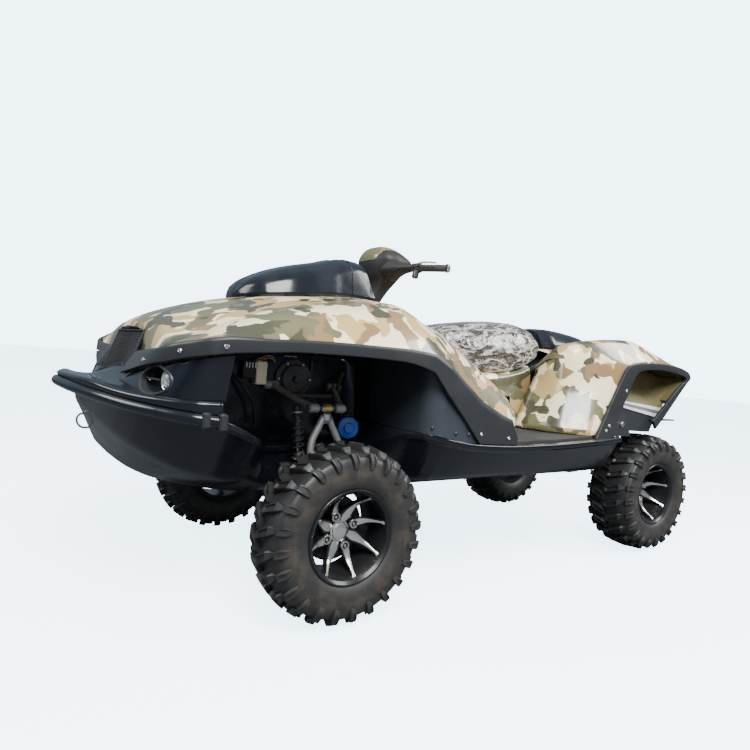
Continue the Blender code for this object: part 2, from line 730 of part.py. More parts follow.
def make_grille():
    """Two mesh screens that meet in a V on the centre line, with slots right through."""
    # Corners of the left screen: centre top, centre bottom, outer bottom, outer top
    top_in, low_in = Vector((1.350, 0.0, 0.966)), Vector((1.370, 0.0, 0.847))
    low_out, top_out = Vector((1.402, 0.205, 0.800)), Vector((1.336, 0.200, 0.948))
    columns, rows = 6, 4
    bar, depth = 0.22, 0.006
    foot_gap = 0.0020

    def spot(u, v, back):
        low = low_in.lerp(low_out, abs(u))
        high = top_in.lerp(top_out, abs(u))
        low.z = bow_deck_z(low.x - depth, low.y) + foot_gap
        point = low.lerp(high, v)
        return (point.x - back, point.y * (1 if u >= 0 else -1), point.z)

    u_lines = []
    for i in range(-columns, columns):
        u_lines += [(i + bar / 2) / columns, (i + 1 - bar / 2) / columns]
    u_lines = [-1.0] + u_lines + [1.0]
    v_lines = [0.0]
    for j in range(rows):
        v_lines += [(j + bar / 2) / rows, (j + 1 - bar / 2) / rows]
    v_lines.append(1.0)
    wide, high = len(u_lines), len(v_lines)
    vertices = [spot(u, v, back) for back in (0.0, depth) for v in v_lines for u in u_lines]

    def open_cell(i, j):
        return i % 2 == 1 and j % 2 == 1 and 0 < i < wide - 2 and 0 < j < high - 2

    layer = wide * high
    faces = []
    for j in range(high - 1):
        for i in range(wide - 1):
            quad = (j * wide + i, j * wide + i + 1, (j + 1) * wide + i + 1, (j + 1) * wide + i)
            if open_cell(i, j):
                for a, b in zip(quad, quad[1:] + quad[:1]):
                    faces.append((b, a, layer + a, layer + b))
                continue
            faces.append(quad)
            faces.append(tuple(layer + k for k in reversed(quad)))
    rim = list(range(wide)) + [j * wide + wide - 1 for j in range(1, high)]
    rim += [(high - 1) * wide + i for i in range(wide - 2, -1, -1)]
    rim += [j * wide for j in range(high - 2, 0, -1)]
    for a, b in zip(rim, rim[1:] + rim[:1]):
        faces.append((a, b, layer + b, layer + a))
    return solid("grille", vertices, faces, "dark_plastic")


def make_front_lid():
    """Black cowl on the hood, a lid hinged at its front edge, hollow below."""
    rest = 0.0020
    sections = []
    inside = [row[0] for row in HOOD if FRONT_LID[0][0] < row[0] < FRONT_LID[-1][0]]
    for x in sorted({row[0] for row in FRONT_LID} | set(inside)):
        top, half = at(FRONT_LID, x, 1), at(FRONT_LID, x, 2)
        base = [(y, hood_face_z(x, y) + rest) for y in (0.0, half * 0.5, half)]
        rise = max(top - base[0][1], 0.008)
        edge = base[-1][1]
        side = (half + 0.004, edge + 0.010)
        shoulder = (half * 0.86, edge + 0.012 + rise * 0.60)
        crown = (half * 0.5, top - 0.006 * min(rise / 0.05, 1.0))
        sections.append((x, base + [side, shoulder, crown, (0.0, top)]))
    lid = loft_x("front_lid", sections, "gloss_black")
    hollow = block("hollow", (0.530, -0.120, 1.10), (0.790, 0.120, 1.236), "gloss_black")
    return on_axis(cut(lid, [hollow]), FRONT_LID_HINGE)


def make_storage_bin():
    """Open tray below the front lid, hung from the hood by its rim."""
    tray = block("storage_bin", (0.5004, -0.1516, 0.985), (0.8296, 0.1516, 1.150), "dark_plastic")
    hollow = block("hollow", (0.508, -0.144, 0.991), (0.822, 0.144, 1.300), "dark_plastic")
    return cut(tray, [hollow])


def make_handlebar():
    """Bar, grips and cover of the steering head, about the raked steering axis."""
    axis = STEER_AXIS.normalized()
    side = Vector((0, 1, 0))
    front = side.cross(axis).normalized()

    def spot(forward, left, up):
        return tuple(STEER_BASE + front * forward + side * left + axis * up)

    # Up the axis, forward end, rear end, half width
    pod_rows = (
        (0.012, 0.045, -0.040, 0.040),
        (0.090, 0.060, -0.050, 0.075),
        (0.150, 0.096, -0.055, 0.115),
        (0.200, 0.108, -0.080, 0.130),
        (0.240, 0.082, -0.110, 0.100),
        (0.262, 0.030, -0.080, 0.060),
    )
    rings = []
    for up, ahead, behind, half in pod_rows:
        rings.append(
            [
                spot(ahead, half * 0.55, up),
                spot(ahead * 0.45, half, up),
                spot(behind * 0.6, half * 0.95, up),
                spot(behind, half * 0.6, up),
                spot(behind, -half * 0.6, up),
                spot(behind * 0.6, -half * 0.95, up),
                spot(ahead * 0.45, -half, up),
                spot(ahead, -half * 0.55, up),
            ]
        )
    pod = loft("handlebar_cover", rings, "dark_plastic")
    # Forward, left, up the axis: the left half of the bar from its middle to the grip's end
    half_bar = [(0.030, 0.080, 0.172), (0.030, 0.180, 0.182), (0.004, 0.270, 0.188), (-0.068, 0.382, 0.184)]
    whole = [spot(f, -l, u) for f, l, u in reversed(half_bar)] + [spot(f, l, u) for f, l, u in half_bar]
    bars = [tube("bar", whole, 0.011, "dark_steel", 2)]
    for sign in (1, -1):
        inner = Vector(spot(half_bar[2][0], half_bar[2][1] * sign, half_bar[2][2]))
        end = Vector(spot(half_bar[3][0], half_bar[3][1] * sign, half_bar[3][2]))
        bars.append(rod("grip", inner.lerp(end, 0.12), inner.lerp(end, 1.03), 0.0165, "grip_mat", 12))
        bars.append(rod("clamp", inner.lerp(end, -0.06), inner.lerp(end, 0.10), 0.023, "dark_plastic", 10))
        pivot = inner.lerp(end, 0.02) + front * 0.016
        bars.append(rod("lever", pivot, inner.lerp(end, 0.85) + front * 0.052, 0.005, "dark_steel", 6))
    return on_axis(rename(union(pod, bars), "handlebar"), STEER_BASE)


def make_steering_column():
    """Fixed bearing tube under the handlebar, seated on the tunnel."""
    axis = STEER_AXIS.normalized()
    low_end, high_end = STEER_BASE - axis * 0.105, STEER_BASE + axis * 0.0115
    return rod("steering_column", low_end, high_end, COLUMN_R, "dark_steel", 16)


def seat_rest(x):
    """Height of the seat's underside: on the tunnel, and rising on behind it."""
    return at(TUNNEL, x, 1) + GAP + max(TUNNEL[0][0] - x, 0.0) * 0.35


def make_seat():
    """Saddle that lies on the tunnel, hinged at its front edge."""
    sections = []
    stations = {row[0] for row in SEAT} | {row[0] for row in TUNNEL if row[0] < SEAT[-1][0]}
    for x in sorted(stations):
        low = seat_rest(x)
        high, half = at(SEAT, x, 1), at(SEAT, x, 2)
        shoulder = high - (high - low) * 0.30
        bottom = [(0.0, low), (half - 0.02, low), (half, low + 0.02)]
        sections.append((x, bottom + [(half, shoulder), (half * 0.72, high - 0.012), (0.0, high)]))
    return on_axis(loft_x("seat", sections, "seat_cover"), SEAT_HINGE)


def make_tunnel():
    """Camouflage console that carries seat and steering, open below over the engine."""
    wall = 0.013
    sections = []
    inner = []
    for x, top, top_half, low_half in TUNNEL:
        low = hull_top(x) + GAP
        waist = (low_half - 0.01, (low + top) / 2)
        sections.append((x, [(0.0, low), (low_half, low), waist, (top_half, top), (0.0, top)]))
        half = low_half - wall
        floor = low - 0.05
        waist = (half - 0.010, (low + top) / 2)
        roof = top - wall
        inner.append((x, [(0.0, floor), (half, floor), waist, (top_half - wall, roof), (0.0, roof)]))
    tunnel = loft_x("tunnel", sections, "camouflage")
    first, last = inner[0], inner[-1]
    inner[0] = (first[0] + wall, first[1])
    inner[-1] = (last[0] - wall, last[1])
    hollow = loft_x("hollow", inner, "camouflage")
    axis = STEER_AXIS.normalized()
    low_end, high_end = STEER_BASE - axis * 0.20, STEER_BASE + axis * 0.02
    column_hole = rod("column_hole", low_end, high_end, COLUMN_R + 0.0005, "camouflage", 16)
    return cut(tunnel, [hollow, column_hole])


def make_rear_core():
    """Upper hull behind the seat, between the rear wheels."""
    # x, top z, half width at the foot, half width at the top
    core = (
        (TRANSOM_X + 0.010, 0.900, 0.300, 0.240),
        (-1.250, 0.990, 0.300, 0.250),
        (-1.000, 1.015, 0.300, 0.250),
        (-0.780, 1.000, 0.300, 0.250),
        (-0.655, 0.950, 0.245, 0.225),
    )
    sections = []
    for x in stations_on_hull(core):
        low = hull_top(x) + GAP
        top, foot, half = (at(core, x, column) for column in (1, 2, 3))
        sections.append((x, [(0.0, low), (foot, low), (half, low + 0.12), (half - 0.01, top), (0.0, top)]))
    return loft_x("rear_core", sections, "olive_shell")


def make_rear_fender():
    fender = shell("rear_fender_left", REAR_FENDER, "camouflage")
    below = block("below", (-0.900, 0.200, 0.500), (-0.400, 0.700, 0.6466), "camouflage")
    return both_sides(cut(fender, [below]))


def deck_z(x, y):
    """Height of the rear deck, which is crowned across and straight between its five lines."""
    edge = float(np.interp(x, *zip(*sorted((row[0][0], row[0][2]) for row in REAR_FENDER[3:]))))
    crown = DECK_CROWN * (1 - DECK_LINES[3] ** 2)
    return edge + float(np.interp(abs(y), (0.0, DECK_CROWN_Y, DECK_HALF), (DECK_CROWN, crown, 0.0)))


def make_rear_deck():
    """Camouflage panel between the fenders, under the rear lid."""
    rows = []
    for row in REAR_FENDER[3:]:
        x, _, z = row[0]
        rows.append([(x, DECK_HALF * t, z + DECK_CROWN * (1 - t * t)) for t in DECK_LINES])
    return shell("rear_deck", rows, "camouflage")


def make_rear_lid():
    """Black lid behind the seat, hinged at its rear edge, lying on the rear deck."""
    # x, top z, half width
    stations = (
        (-1.350, 1.118, 0.150),
        (-1.200, 1.156, 0.178),
        (-1.140, 1.166, 0.190),
        (-1.000, 1.180, 0.190),
        (-0.880, 1.184, 0.190),
        (-0.800, 1.172, 0.150),
    )
    rest = 0.0008
    sections = []
    for x, high, half in stations:
        base = [(y, deck_z(x, y) + rest) for y in (0.0, DECK_CROWN_Y, half)]
        side = (half + 0.004, base[-1][1] + 0.030)
        sections.append((x, base + [side, (half * 0.7, high - 0.008), (0.0, high)]))
    return on_axis(loft_x("rear_lid", sections, "gloss_black"), REAR_LID_HINGE)


def make_rear_trim():
    rings = []
    for x, z, in_x, in_z in REAR_TRIM:
        rings.append([(x, 0.6428, z), (x, 0.6568, z), (in_x, 0.6568, in_z), (in_x, 0.6428, in_z)])
    return both_sides(loft("rear_trim_left", rings, "satin_black"))


def make_tail_panel():
    """Sloping black panel that closes the tail."""
    outline = [(-1.460, 0.954), (-1.3125, 0.8143), (-1.3125, 0.832), (-1.449, 0.9613)]
    return prism("tail_panel", outline, -0.6425, 0.6425, "y", "satin_black")


def make_foot_mat():
    """Grip mat on the running board, between tunnel and trim."""
    # x, inner y
    inner_edge = ((-0.640, 0.285), (-0.300, 0.285), (0.150, 0.300))
    outer_y = 0.640
    thickness = 0.010
    rings = []
    for x in stations_on_hull(inner_edge):
        y = at(inner_edge, x, 1)
        low = hull_top(x) + GAP
        rings.append([(x, y, low), (x, outer_y, low), (x, outer_y, low + thickness), (x, y, low + thickness)])
    return both_sides(loft("foot_mat_left", rings, "grip_mat"))


def make_tyre(name, centre_x, centre_y, width):
    """Carcass turned from a section, with slanted lugs pulled out of its tread in a chevron."""
    half = width / 2
    # Radius, share of the half width, slant as a share of the pitch
    section = (
        (BEAD_R + 0.0006, -0.74, 0.5),
        (0.225, -1.00, 0.5),
        (0.262, -0.97, 0.5),
        (0.2885, -0.62, 0.35),
        (TYRE_R - LUG_H, 0.0, 0.0),
        (0.2885, 0.62, 0.35),
        (0.262, 0.97, 0.5),
        (0.225, 1.00, 0.5),
        (BEAD_R + 0.0006, 0.74, 0.5),
    )
    steps = LUG_PITCHES * 2
    count = len(section)
    pitch = 2 * pi / LUG_PITCHES
    work = bmesh.new()
    grid = []
    for i in range(steps):
        row = []
        for r, share, slant in section:
            turn = pitch * (i / 2 + slant)
            row.append(work.verts.new((r * cos(turn), share * half, r * sin(turn))))
        grid.append(row)
    lugs = []
    for i in range(steps):
        n = (i + 1) % steps
        for j in range(count):
            k = (j + 1) % count
            face = work.faces.new((grid[i][j], grid[i][k], grid[n][k], grid[n][j]))
            left = j in (4, 5) and i % 2 == 0
            right = j in (2, 3) and i % 2 == 1
            if left or right:
                lugs.append((i, j, face))
    bmesh.ops.recalc_face_normals(work, faces=work.faces)
    pairs = {}
    for i, j, face in lugs:
        pairs.setdefault((i, j > 3), []).append(face)
    for (_, outward), faces in pairs.items():
        grown = bmesh.ops.extrude_face_region(work, geom=faces)
        raised = [v for v in grown["geom"] if isinstance(v, bmesh.types.BMVert)]
        bmesh.ops.delete(work, geom=faces, context="FACES_ONLY")
        for vert in raised:
            r = (vert.co.x ** 2 + vert.co.z ** 2) ** 0.5
            top = r + LUG_H * (1 - 0.25 * (vert.co.y / half) ** 2)
            vert.co.x *= top / r
            vert.co.z *= top / r
            if abs(vert.co.y) < 0.001:
                vert.co.y = 0.008 if outward else -0.008
    bmesh.ops.recalc_face_normals(work, faces=work.faces)
    if work.calc_volume(signed=True) < 0:
        bmesh.ops.reverse_faces(work, faces=work.faces)
    mesh = bpy.data.meshes.new(name)
    work.to_mesh(mesh)
    work.free()
    mesh.materials.append(MATERIALS["tyre_rubber"])
    item = bpy.data.objects.new(name, mesh)
    item.location = (centre_x, centre_y, AXLE_Z)
    bpy.context.scene.collection.objects.link(item)
    return item


def make_rim(name, centre_x, centre_y, width, side):
    """Deep dish rim: barrel, hub and eight slim spokes that rise to the outer lip."""
    half = width / 2
    seat = half * 0.74
    flank = seat + 0.26 * half * 0.0104 / 0.0694 + 0.0010
    out, back = flank + 0.010, flank + 0.007
    barrel = turned(
        name,
        [
            (0.1665, out), (0.1660, flank), (BEAD_R - 0.001, seat + 0.0004),
            (BEAD_R - 0.001, -seat - 0.0004), (0.1660, -flank), (0.1660, -back),
            (BEAD_R - 0.007, -back), (BEAD_R - 0.007, out - 0.004),
        ],
        32,
        (0, 0, 0),
        (0, side, 0),
        "gloss_black",
    )
    hub = turned(
        "hub",
        [(0.0, 0.006), (0.030, 0.006), (0.052, -0.002), (0.056, -0.030), (0.0, -0.030)],
        24,
        (0, 0, 0),
        (0, side, 0),
        "machined_alloy",
    )
    # Radius, half width, back face, front face
    stations = (
        (0.040, 0.013, -0.026, 0.001),
        (0.100, 0.011, 0.002, 0.022),
        (0.150, 0.006, seat - 0.026, seat - 0.002),
    )
    spokes = []
    for i in range(8):
        turn = 2 * pi * (i + 0.5) / 8
        lean = radians(7)
        spoke = []
        for r, w, low, high in stations:
            skew = turn + lean * (r - 0.04) / 0.11
            mid = Vector((r * cos(skew), 0, r * sin(skew)))
            across = Vector((-sin(skew), 0, cos(skew))) * w
            up = Vector((0, side, 0))
            back, face = mid + up * low, mid + up * high
            spoke.append([tuple(p) for p in (back + across, back - across, face - across, face + across)])
        spokes.append(loft("spoke", spoke, "machined_alloy"))
    rim = union(barrel, [hub] + spokes)
    rim.location = (centre_x, centre_y, AXLE_Z)
    return rename(rim, name)


def make_wheels():
    # Name, axle x, wheel y, tyre width
    axles = (
        ("front", FRONT_AXLE_X, FRONT_WHEEL_Y, FRONT_TYRE_W),
        ("rear", REAR_AXLE_X, REAR_WHEEL_Y, REAR_TYRE_W),
    )
    for place, axle_x, wheel_y, width in axles:
        for hand, side in (("left", 1), ("right", -1)):
            make_tyre(f"tyre_{place}_{hand}", axle_x, wheel_y * side, width)
            make_rim(f"rim_{place}_{hand}", axle_x, wheel_y * side, width, side)


def make_front_knuckle():
    """Upright in the form of an inverted V with the wheel's stub axle."""
    x, y = FRONT_AXLE_X, KINGPIN_Y
    carrier = rod("knuckle_left", (x, y - 0.010, AXLE_Z), (x, y + 0.045, AXLE_Z), 0.050, "dark_steel", 20)
    parts = [
        rod("stub", (x, y + 0.03, AXLE_Z), (x, FRONT_WHEEL_Y - 0.0306, AXLE_Z), 0.040, "dark_steel", 16),
        rod("leg", (x + 0.004, y, 0.702), (x + 0.036, y + 0.028, AXLE_Z + 0.018), 0.015, "dark_steel", 8),
        rod("leg", (x - 0.004, y, 0.705), (x - 0.036, y + 0.028, AXLE_Z + 0.018), 0.015, "dark_steel", 8),
        rod("joint", (x, y, 0.688), (x, y, 0.716), 0.021, "bright_steel", 12),
        rod("pin", (x, y, AXLE_Z + 0.03), (x, y, 0.3998), 0.012, "bright_steel", 12),
    ]
    knuckle = on_axis(rename(union(carrier, parts), "knuckle_left"), (x, y, AXLE_Z))
    return both_sides(knuckle)


def make_front_arms():
    """Upper and lower wishbones: pivot tubes on tower and hull, legs, and the joint at the upright."""
    x, y = FRONT_AXLE_X, KINGPIN_Y
    upper = rod("upper_arm_left", (x + 0.075, y, 0.734), (x - 0.075, y, 0.734), 0.0172, "dark_steel", 12)
    legs = [
        rod("leg", (x + 0.135, 0.2575, 0.800), (x + 0.060, y, 0.734), 0.013, "dark_steel", 8),
        rod("leg", (x - 0.135, 0.2575, 0.800), (x - 0.060, y, 0.734), 0.013, "dark_steel", 8),
        rod("brace", (x + 0.100, 0.350, 0.769), (x - 0.100, 0.350, 0.769), 0.008, "dark_steel", 8),
        rod("pivot", (x + 0.110, 0.2575, 0.800), (x + 0.170, 0.2575, 0.800), 0.0168, "dark_steel", 12),
        rod("pivot", (x - 0.110, 0.2575, 0.800), (x - 0.170, 0.2575, 0.800), 0.0168, "dark_steel", 12),
    ]
    both_sides(rename(union(upper, legs), "upper_arm_left"))
    lower = rod("lower_arm_left", (x, y, 0.4005), (x, y, 0.428), 0.0135, "dark_steel", 12)
    legs = [
        rod("leg", (x + 0.085, 0.3442, 0.500), (x, y - 0.003, 0.414), 0.0115, "dark_steel", 8),
        rod("leg", (x - 0.085, 0.3442, 0.500), (x, y - 0.003, 0.414), 0.0115, "dark_steel", 8),
        rod("pivot", (x + 0.060, 0.3442, 0.500), (x + 0.120, 0.3442, 0.500), 0.0160, "dark_steel", 12),
        rod("pivot", (x - 0.060, 0.3442, 0.500), (x - 0.120, 0.3442, 0.500), 0.0160, "dark_steel", 12),
    ]
    both_sides(rename(union(lower, legs), "lower_arm_left"))


def make_front_shock():
    """Coil-over damper: a tube, a rod and rings that stand for the coil."""
    top = Vector((0.829, 0.392, 0.7385))
    foot = Vector((0.800, 0.392, 0.4830))
    along = (foot - top).normalized()
    body = rod("front_shock_left", top, top.lerp(foot, 0.55), 0.014, "dark_steel", 10)
    parts = [rod("shaft", top.lerp(foot, 0.5), foot, 0.007, "bright_steel", 8)]
    for i in range(6):
        spot = top.lerp(foot, 0.12 + 0.11 * i)
        parts.append(rod("turn", spot - along * 0.004, spot + along * 0.004, 0.024, "satin_black", 8))
    return both_sides(rename(union(body, parts), "front_shock_left"))


def make_front_frame():
    """Central tower between the front wheels that carries arms and dampers."""
    # x, top z, half width at the top
    tower = (
        (0.470, 0.900, 0.210),
        (0.560, 0.930, 0.240),
        (0.930, 0.930, 0.240),
        (1.080, 0.905, 0.220),
        (1.200, 0.845, 0.200),
    )
    sections = []
    for x in stations_on_hull(tower):
        low = hull_top(x) + GAP
        top, half = at(tower, x, 1), at(tower, x, 2)
        sections.append((x, [(0.0, low), (0.240, low), (half, top), (0.0, top)]))
    frame = loft_x("front_frame", sections, "satin_black")
    return frame


def make_rear_arms():
    """Trailing arm with the hub carrier and stub axle of a rear wheel."""
    x, y = REAR_AXLE_X, 0.360
    arm = rod("rear_arm_left", (x, y - 0.014, AXLE_Z), (x, y + 0.014, AXLE_Z), 0.050, "dark_steel", 20)
    parts = [
        rod("stub", (x, y, AXLE_Z), (x, REAR_WHEEL_Y - 0.0304, AXLE_Z), 0.036, "dark_steel", 16),
        rod("beam", (x, y, AXLE_Z), (-1.010, y, 0.540), 0.0135, "dark_steel", 10),
        rod("beam", (x, y, AXLE_Z + 0.035), (-1.010, y, 0.540), 0.0135, "dark_steel", 10),
        rod("pivot", (-1.010, 0.3150, 0.540), (-1.010, y + 0.016, 0.540), 0.024, "dark_steel", 14),
    ]
    both_sides(rename(union(arm, parts), "rear_arm_left"))


def make_rear_shock():
    """Damper between the upper hull and the trailing arm."""
    top = Vector((-1.150, 0.362, 0.870))
    foot = Vector((-1.205, 0.362, 0.4256))
    along = (foot - top).normalized()
    body = rod("rear_shock_left", top, top.lerp(foot, 0.5), 0.010, "dark_steel", 10)
    parts = [rod("shaft", top.lerp(foot, 0.45), foot, 0.006, "bright_steel", 8)]
    parts.append(rod("eye", (top.x, 0.2460, top.z), (top.x, 0.366, top.z), 0.012, "dark_steel", 10))
    for i in range(5):
        spot = top.lerp(foot, 0.12 + 0.10 * i)
        parts.append(rod("turn", spot - along * 0.005, spot + along * 0.005, 0.014, "satin_black", 8))
    both_sides(rename(union(body, parts), "rear_shock_left"))


def make_engine():
    """The engine as one plain block on the floor of its bay."""
    return block("engine", (-0.540, -0.190, 0.385 + GAP), (0.150, 0.190, 0.800), "dark_steel")


def make_jet():
    """Steering nozzle with the bucket's pins, and the mount that carries it on the transom."""
    mouth, throat, front, rear = 0.080, 0.060, TRANSOM_X - 0.012, -1.470
    wall = 0.007
    nozzle = turned(
        "jet_nozzle",
        [
            (mouth, front),
            (mouth, -1.400),
            (throat, rear),
            (throat - wall + 0.001, rear),
            (mouth - wall - 0.001, -1.400),
            (mouth - wall - 0.001, front),
        ],
        24,
        (0, 0, JET_Z),
        (1, 0, 0),
        "jet_alloy",
    )
    lug_z, post_z = 0.0985, 0.098
    pins = []
    for sign in (1, -1):
        post_ends = [(NOZZLE_PIVOT_X, 0, JET_Z + height * sign) for height in (0.074, post_z)]
        pin_ends = [(BUCKET_PIVOT_X, y * sign, JET_Z) for y in (0.0595, 0.0900)]
        pins.append(rod("post", *post_ends, 0.014, "jet_alloy", 12))
        pins.append(rod("pin", *pin_ends, PIN_R, "jet_alloy", 16))
    on_axis(rename(union(nozzle, pins), "jet_nozzle"), (NOZZLE_PIVOT_X, 0, JET_Z))
    reach, half, thick = 0.070, 0.040, 0.0135
    upper_low = (TRANSOM_X - reach, -half, JET_Z + lug_z)
    upper_high = (TRANSOM_X - GAP, half, JET_Z + lug_z + thick)
    lower_low = (TRANSOM_X - reach, -half, JET_Z - lug_z - thick)
    lower_high = (TRANSOM_X - 0.0060, half, JET_Z - lug_z)
    mount = block("jet_mount", upper_low, upper_high, "jet_alloy")
    lower = block("lower", lower_low, lower_high, "jet_alloy")
    plate_out, plate_in, plate_back = 0.120, 0.0845, TRANSOM_X - 0.0065
    plate = turned(
        "plate",
        [
            (plate_out, plate_back),
            (plate_out, TRANSOM_X - GAP),
            (plate_in, TRANSOM_X - GAP),
            (plate_in, plate_back),
        ],
        24,
        (0, 0, JET_Z),
        (1, 0, 0),
        "jet_alloy",
    )
    rename(union(mount, [lower, plate]), "jet_mount")


def make_bucket():
    """Reversing bucket, raised over the nozzle: a curved plate on two ears that hang on the nozzle's pins."""
    outer, inner, half = 0.105, 0.098, 0.086

    def spot(radius, turn):
        return (BUCKET_PIVOT_X - radius * cos(turn), JET_Z + radius * sin(turn))

    sweep = np.linspace(radians(45), radians(115), 8)
    plate = [spot(outer, turn) for turn in sweep] + [spot(inner, turn) for turn in sweep[::-1]]
    bucket = prism("reverse_bucket", plate, -half, half, "y", "jet_alloy")
    ears = []
    eye = [spot(0.017, turn) for turn in np.linspace(radians(175), radians(345), 7)]
    outline = eye + [spot(outer - 0.001, turn) for turn in sweep]
    for sign in (1, -1):
        low, high = sorted(((half - 0.008) * sign, (half - 0.0005) * sign))
        ear = prism("ear", outline, low, high, "y", "jet_alloy")
        hole_ends = [(BUCKET_PIVOT_X, y, JET_Z) for y in (low - 0.01, high + 0.01)]
        pin_hole = rod("hole", *hole_ends, PIN_R + GAP, "jet_alloy", 16)
        ears.append(cut(ear, [pin_hole]))
    on_axis(rename(union(bucket, ears), "reverse_bucket"), (BUCKET_PIVOT_X, 0, JET_Z))


def make_impeller():
    """Three blades on a hub whose shaft runs to the duct's front wall."""
    wall_x = TRANSOM_X + 0.16
    hub = [
        (0.0, -1.300),
        (0.012, -1.300),
        (0.026, IMPELLER_X - 0.005),
        (0.026, -1.195),
        (0.010, -1.190),
        (0.010, wall_x - GAP),
        (0.0, wall_x - GAP),
    ]
    impeller = turned("impeller", hub, 16, (0, 0, JET_Z), (1, 0, 0), "bright_steel")
    blades = []
    for i in range(3):
        turn = 2 * pi * i / 3
        radial = Vector((0, cos(turn), sin(turn)))
        across = Vector((0, -sin(turn), cos(turn)))
        thick = Vector((0.003, 0, 0)) - across * 0.002
        blade = []
        for r, twist in ((0.018, 0.5), (0.068, 1.0)):
            mid = Vector((IMPELLER_X, 0, JET_Z)) + radial * r
            chord = Vector((0.024, 0, 0)) + across * 0.026 * twist
            lead, trail = mid + chord, mid - chord
            blade.append([tuple(p) for p in (lead - thick, trail - thick, trail + thick, lead + thick)])
        blades.append(loft("blade", blade, "bright_steel"))
    on_axis(rename(union(impeller, blades), "impeller"), (IMPELLER_X, 0, JET_Z))


def main():
    clear_scene()
    make_materials()
    make_hull()
    make_bow_rail()
    make_bow_deck()
    make_bow_eye()
    make_hood()
    make_front_fender()
    make_front_trim()
    make_side_panel()
    make_cheek()
    make_grille()
    make_front_lid()
    make_storage_bin()
    make_handlebar()
    make_steering_column()
    make_seat()
    make_tunnel()
    make_rear_core()
    make_rear_fender()
    make_rear_deck()
    make_rear_lid()
    make_rear_trim()
    make_tail_panel()
    make_foot_mat()
    make_wheels()
    make_front_knuckle()
    make_front_arms()
    make_front_shock()
    make_front_frame()
    make_rear_arms()
    make_rear_shock()
    make_engine()
    make_jet()
    make_bucket()
    make_impeller()


main()
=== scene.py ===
"""Looks of the amphibious all-terrain vehicle: finishes, smooth shells, wheels, suspension, padded seat.

Metres, x towards the bow, y to the left side, z up, all in the frame of the solid model."""

from math import cos, pi, radians, sin

import bmesh
import bpy
import numpy as np
from mathutils import Matrix, Vector


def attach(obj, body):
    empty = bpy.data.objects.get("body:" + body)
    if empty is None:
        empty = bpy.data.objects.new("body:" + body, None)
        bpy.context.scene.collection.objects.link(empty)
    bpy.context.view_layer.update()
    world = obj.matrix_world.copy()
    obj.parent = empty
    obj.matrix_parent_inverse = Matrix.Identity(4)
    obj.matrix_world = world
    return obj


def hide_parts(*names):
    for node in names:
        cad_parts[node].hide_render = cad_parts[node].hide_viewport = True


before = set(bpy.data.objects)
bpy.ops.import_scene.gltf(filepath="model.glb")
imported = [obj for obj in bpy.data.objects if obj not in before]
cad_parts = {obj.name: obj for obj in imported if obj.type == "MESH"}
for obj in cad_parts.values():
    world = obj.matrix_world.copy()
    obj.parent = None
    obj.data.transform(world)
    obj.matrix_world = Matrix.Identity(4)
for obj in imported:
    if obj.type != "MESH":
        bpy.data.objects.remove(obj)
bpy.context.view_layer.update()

BODY = "body"
SHARP = radians(33)
UP = np.array((0.0, 0.0, 1.0))
LEFT = np.array((0.0, 1.0, 0.0))

# Camera of the photo: place, turn about z, lift and roll in radians, focal length in millimetres
CAMERA_AT = Vector((1.846, 2.353, 0.932))
CAMERA_YAW, CAMERA_PITCH, CAMERA_ROLL = 0.6061, -0.0274, 0.0805
CAMERA_LENS = 28.25

# Steering head: foot of the raked axis and its direction
STEER_BASE = np.array((0.27, 0.0, 1.205))
STEER_AXIS = np.array((-0.36, 0.0, 0.933))

# Axles, transom, and the jet's axis with its two pivots
FRONT_X, REAR_X, AXLE_Z = 0.740, -1.280, 0.3175
TRANSOM_X = -1.32
JET_Z = 0.43
NOZZLE_X, BUCKET_X = -1.372, -1.455

# Lip over the hull's line, shell thickness, trim over the body's edge, a piece's clearance over the next
FLANGE = 0.022
SHELL = 0.004
TRIM_LAP = 0.004
CLEAR = 0.0003
TAIL_EDGE_Z = 0.9575
LUG_PITCHES = 24

# Hull: x, keel z, chine y, chine z, lip y, lip z
HULL = (
    (-1.320, 0.325, 0.300, 0.420, 0.335, 0.600),
    (-0.980, 0.310, 0.310, 0.420, 0.335, 0.600),
    (-0.930, 0.310, 0.330, 0.430, 0.350, 0.605),
    (-0.870, 0.310, 0.480, 0.455, 0.560, 0.615),
    (-0.820, 0.310, 0.585, 0.470, 0.680, 0.620),
    (-0.600, 0.310, 0.600, 0.470, 0.700, 0.612),
    (-0.320, 0.310, 0.600, 0.470, 0.700, 0.600),
    (-0.060, 0.310, 0.600, 0.470, 0.700, 0.596),
    (0.170, 0.310, 0.600, 0.470, 0.700, 0.605),
    (0.330, 0.310, 0.590, 0.470, 0.695, 0.628),
    (0.365, 0.311, 0.550, 0.470, 0.690, 0.636),
    (0.420, 0.313, 0.470, 0.460, 0.650, 0.645),
    (0.445, 0.314, 0.400, 0.450, 0.560, 0.630),
    (0.465, 0.315, 0.340, 0.430, 0.400, 0.575),
    (0.480, 0.315, 0.325, 0.420, 0.350, 0.560),
    (0.920, 0.330, 0.325, 0.430, 0.345, 0.555),
    (0.955, 0.335, 0.330, 0.440, 0.390, 0.565),
    (0.990, 0.342, 0.340, 0.450, 0.465, 0.590),
    (1.050, 0.352, 0.385, 0.460, 0.550, 0.620),
    (1.110, 0.366, 0.440, 0.475, 0.590, 0.650),
    (1.170, 0.382, 0.465, 0.490, 0.612, 0.676),
    (1.250, 0.408, 0.470, 0.515, 0.612, 0.690),
    (1.330, 0.448, 0.430, 0.550, 0.565, 0.700),
    (1.400, 0.502, 0.350, 0.590, 0.475, 0.710),
    (1.450, 0.556, 0.250, 0.630, 0.380, 0.718),
    (1.490, 0.645, 0.130, 0.668, 0.260, 0.727),
    (1.513, 0.690, 0.050, 0.700, 0.110, 0.734),
)

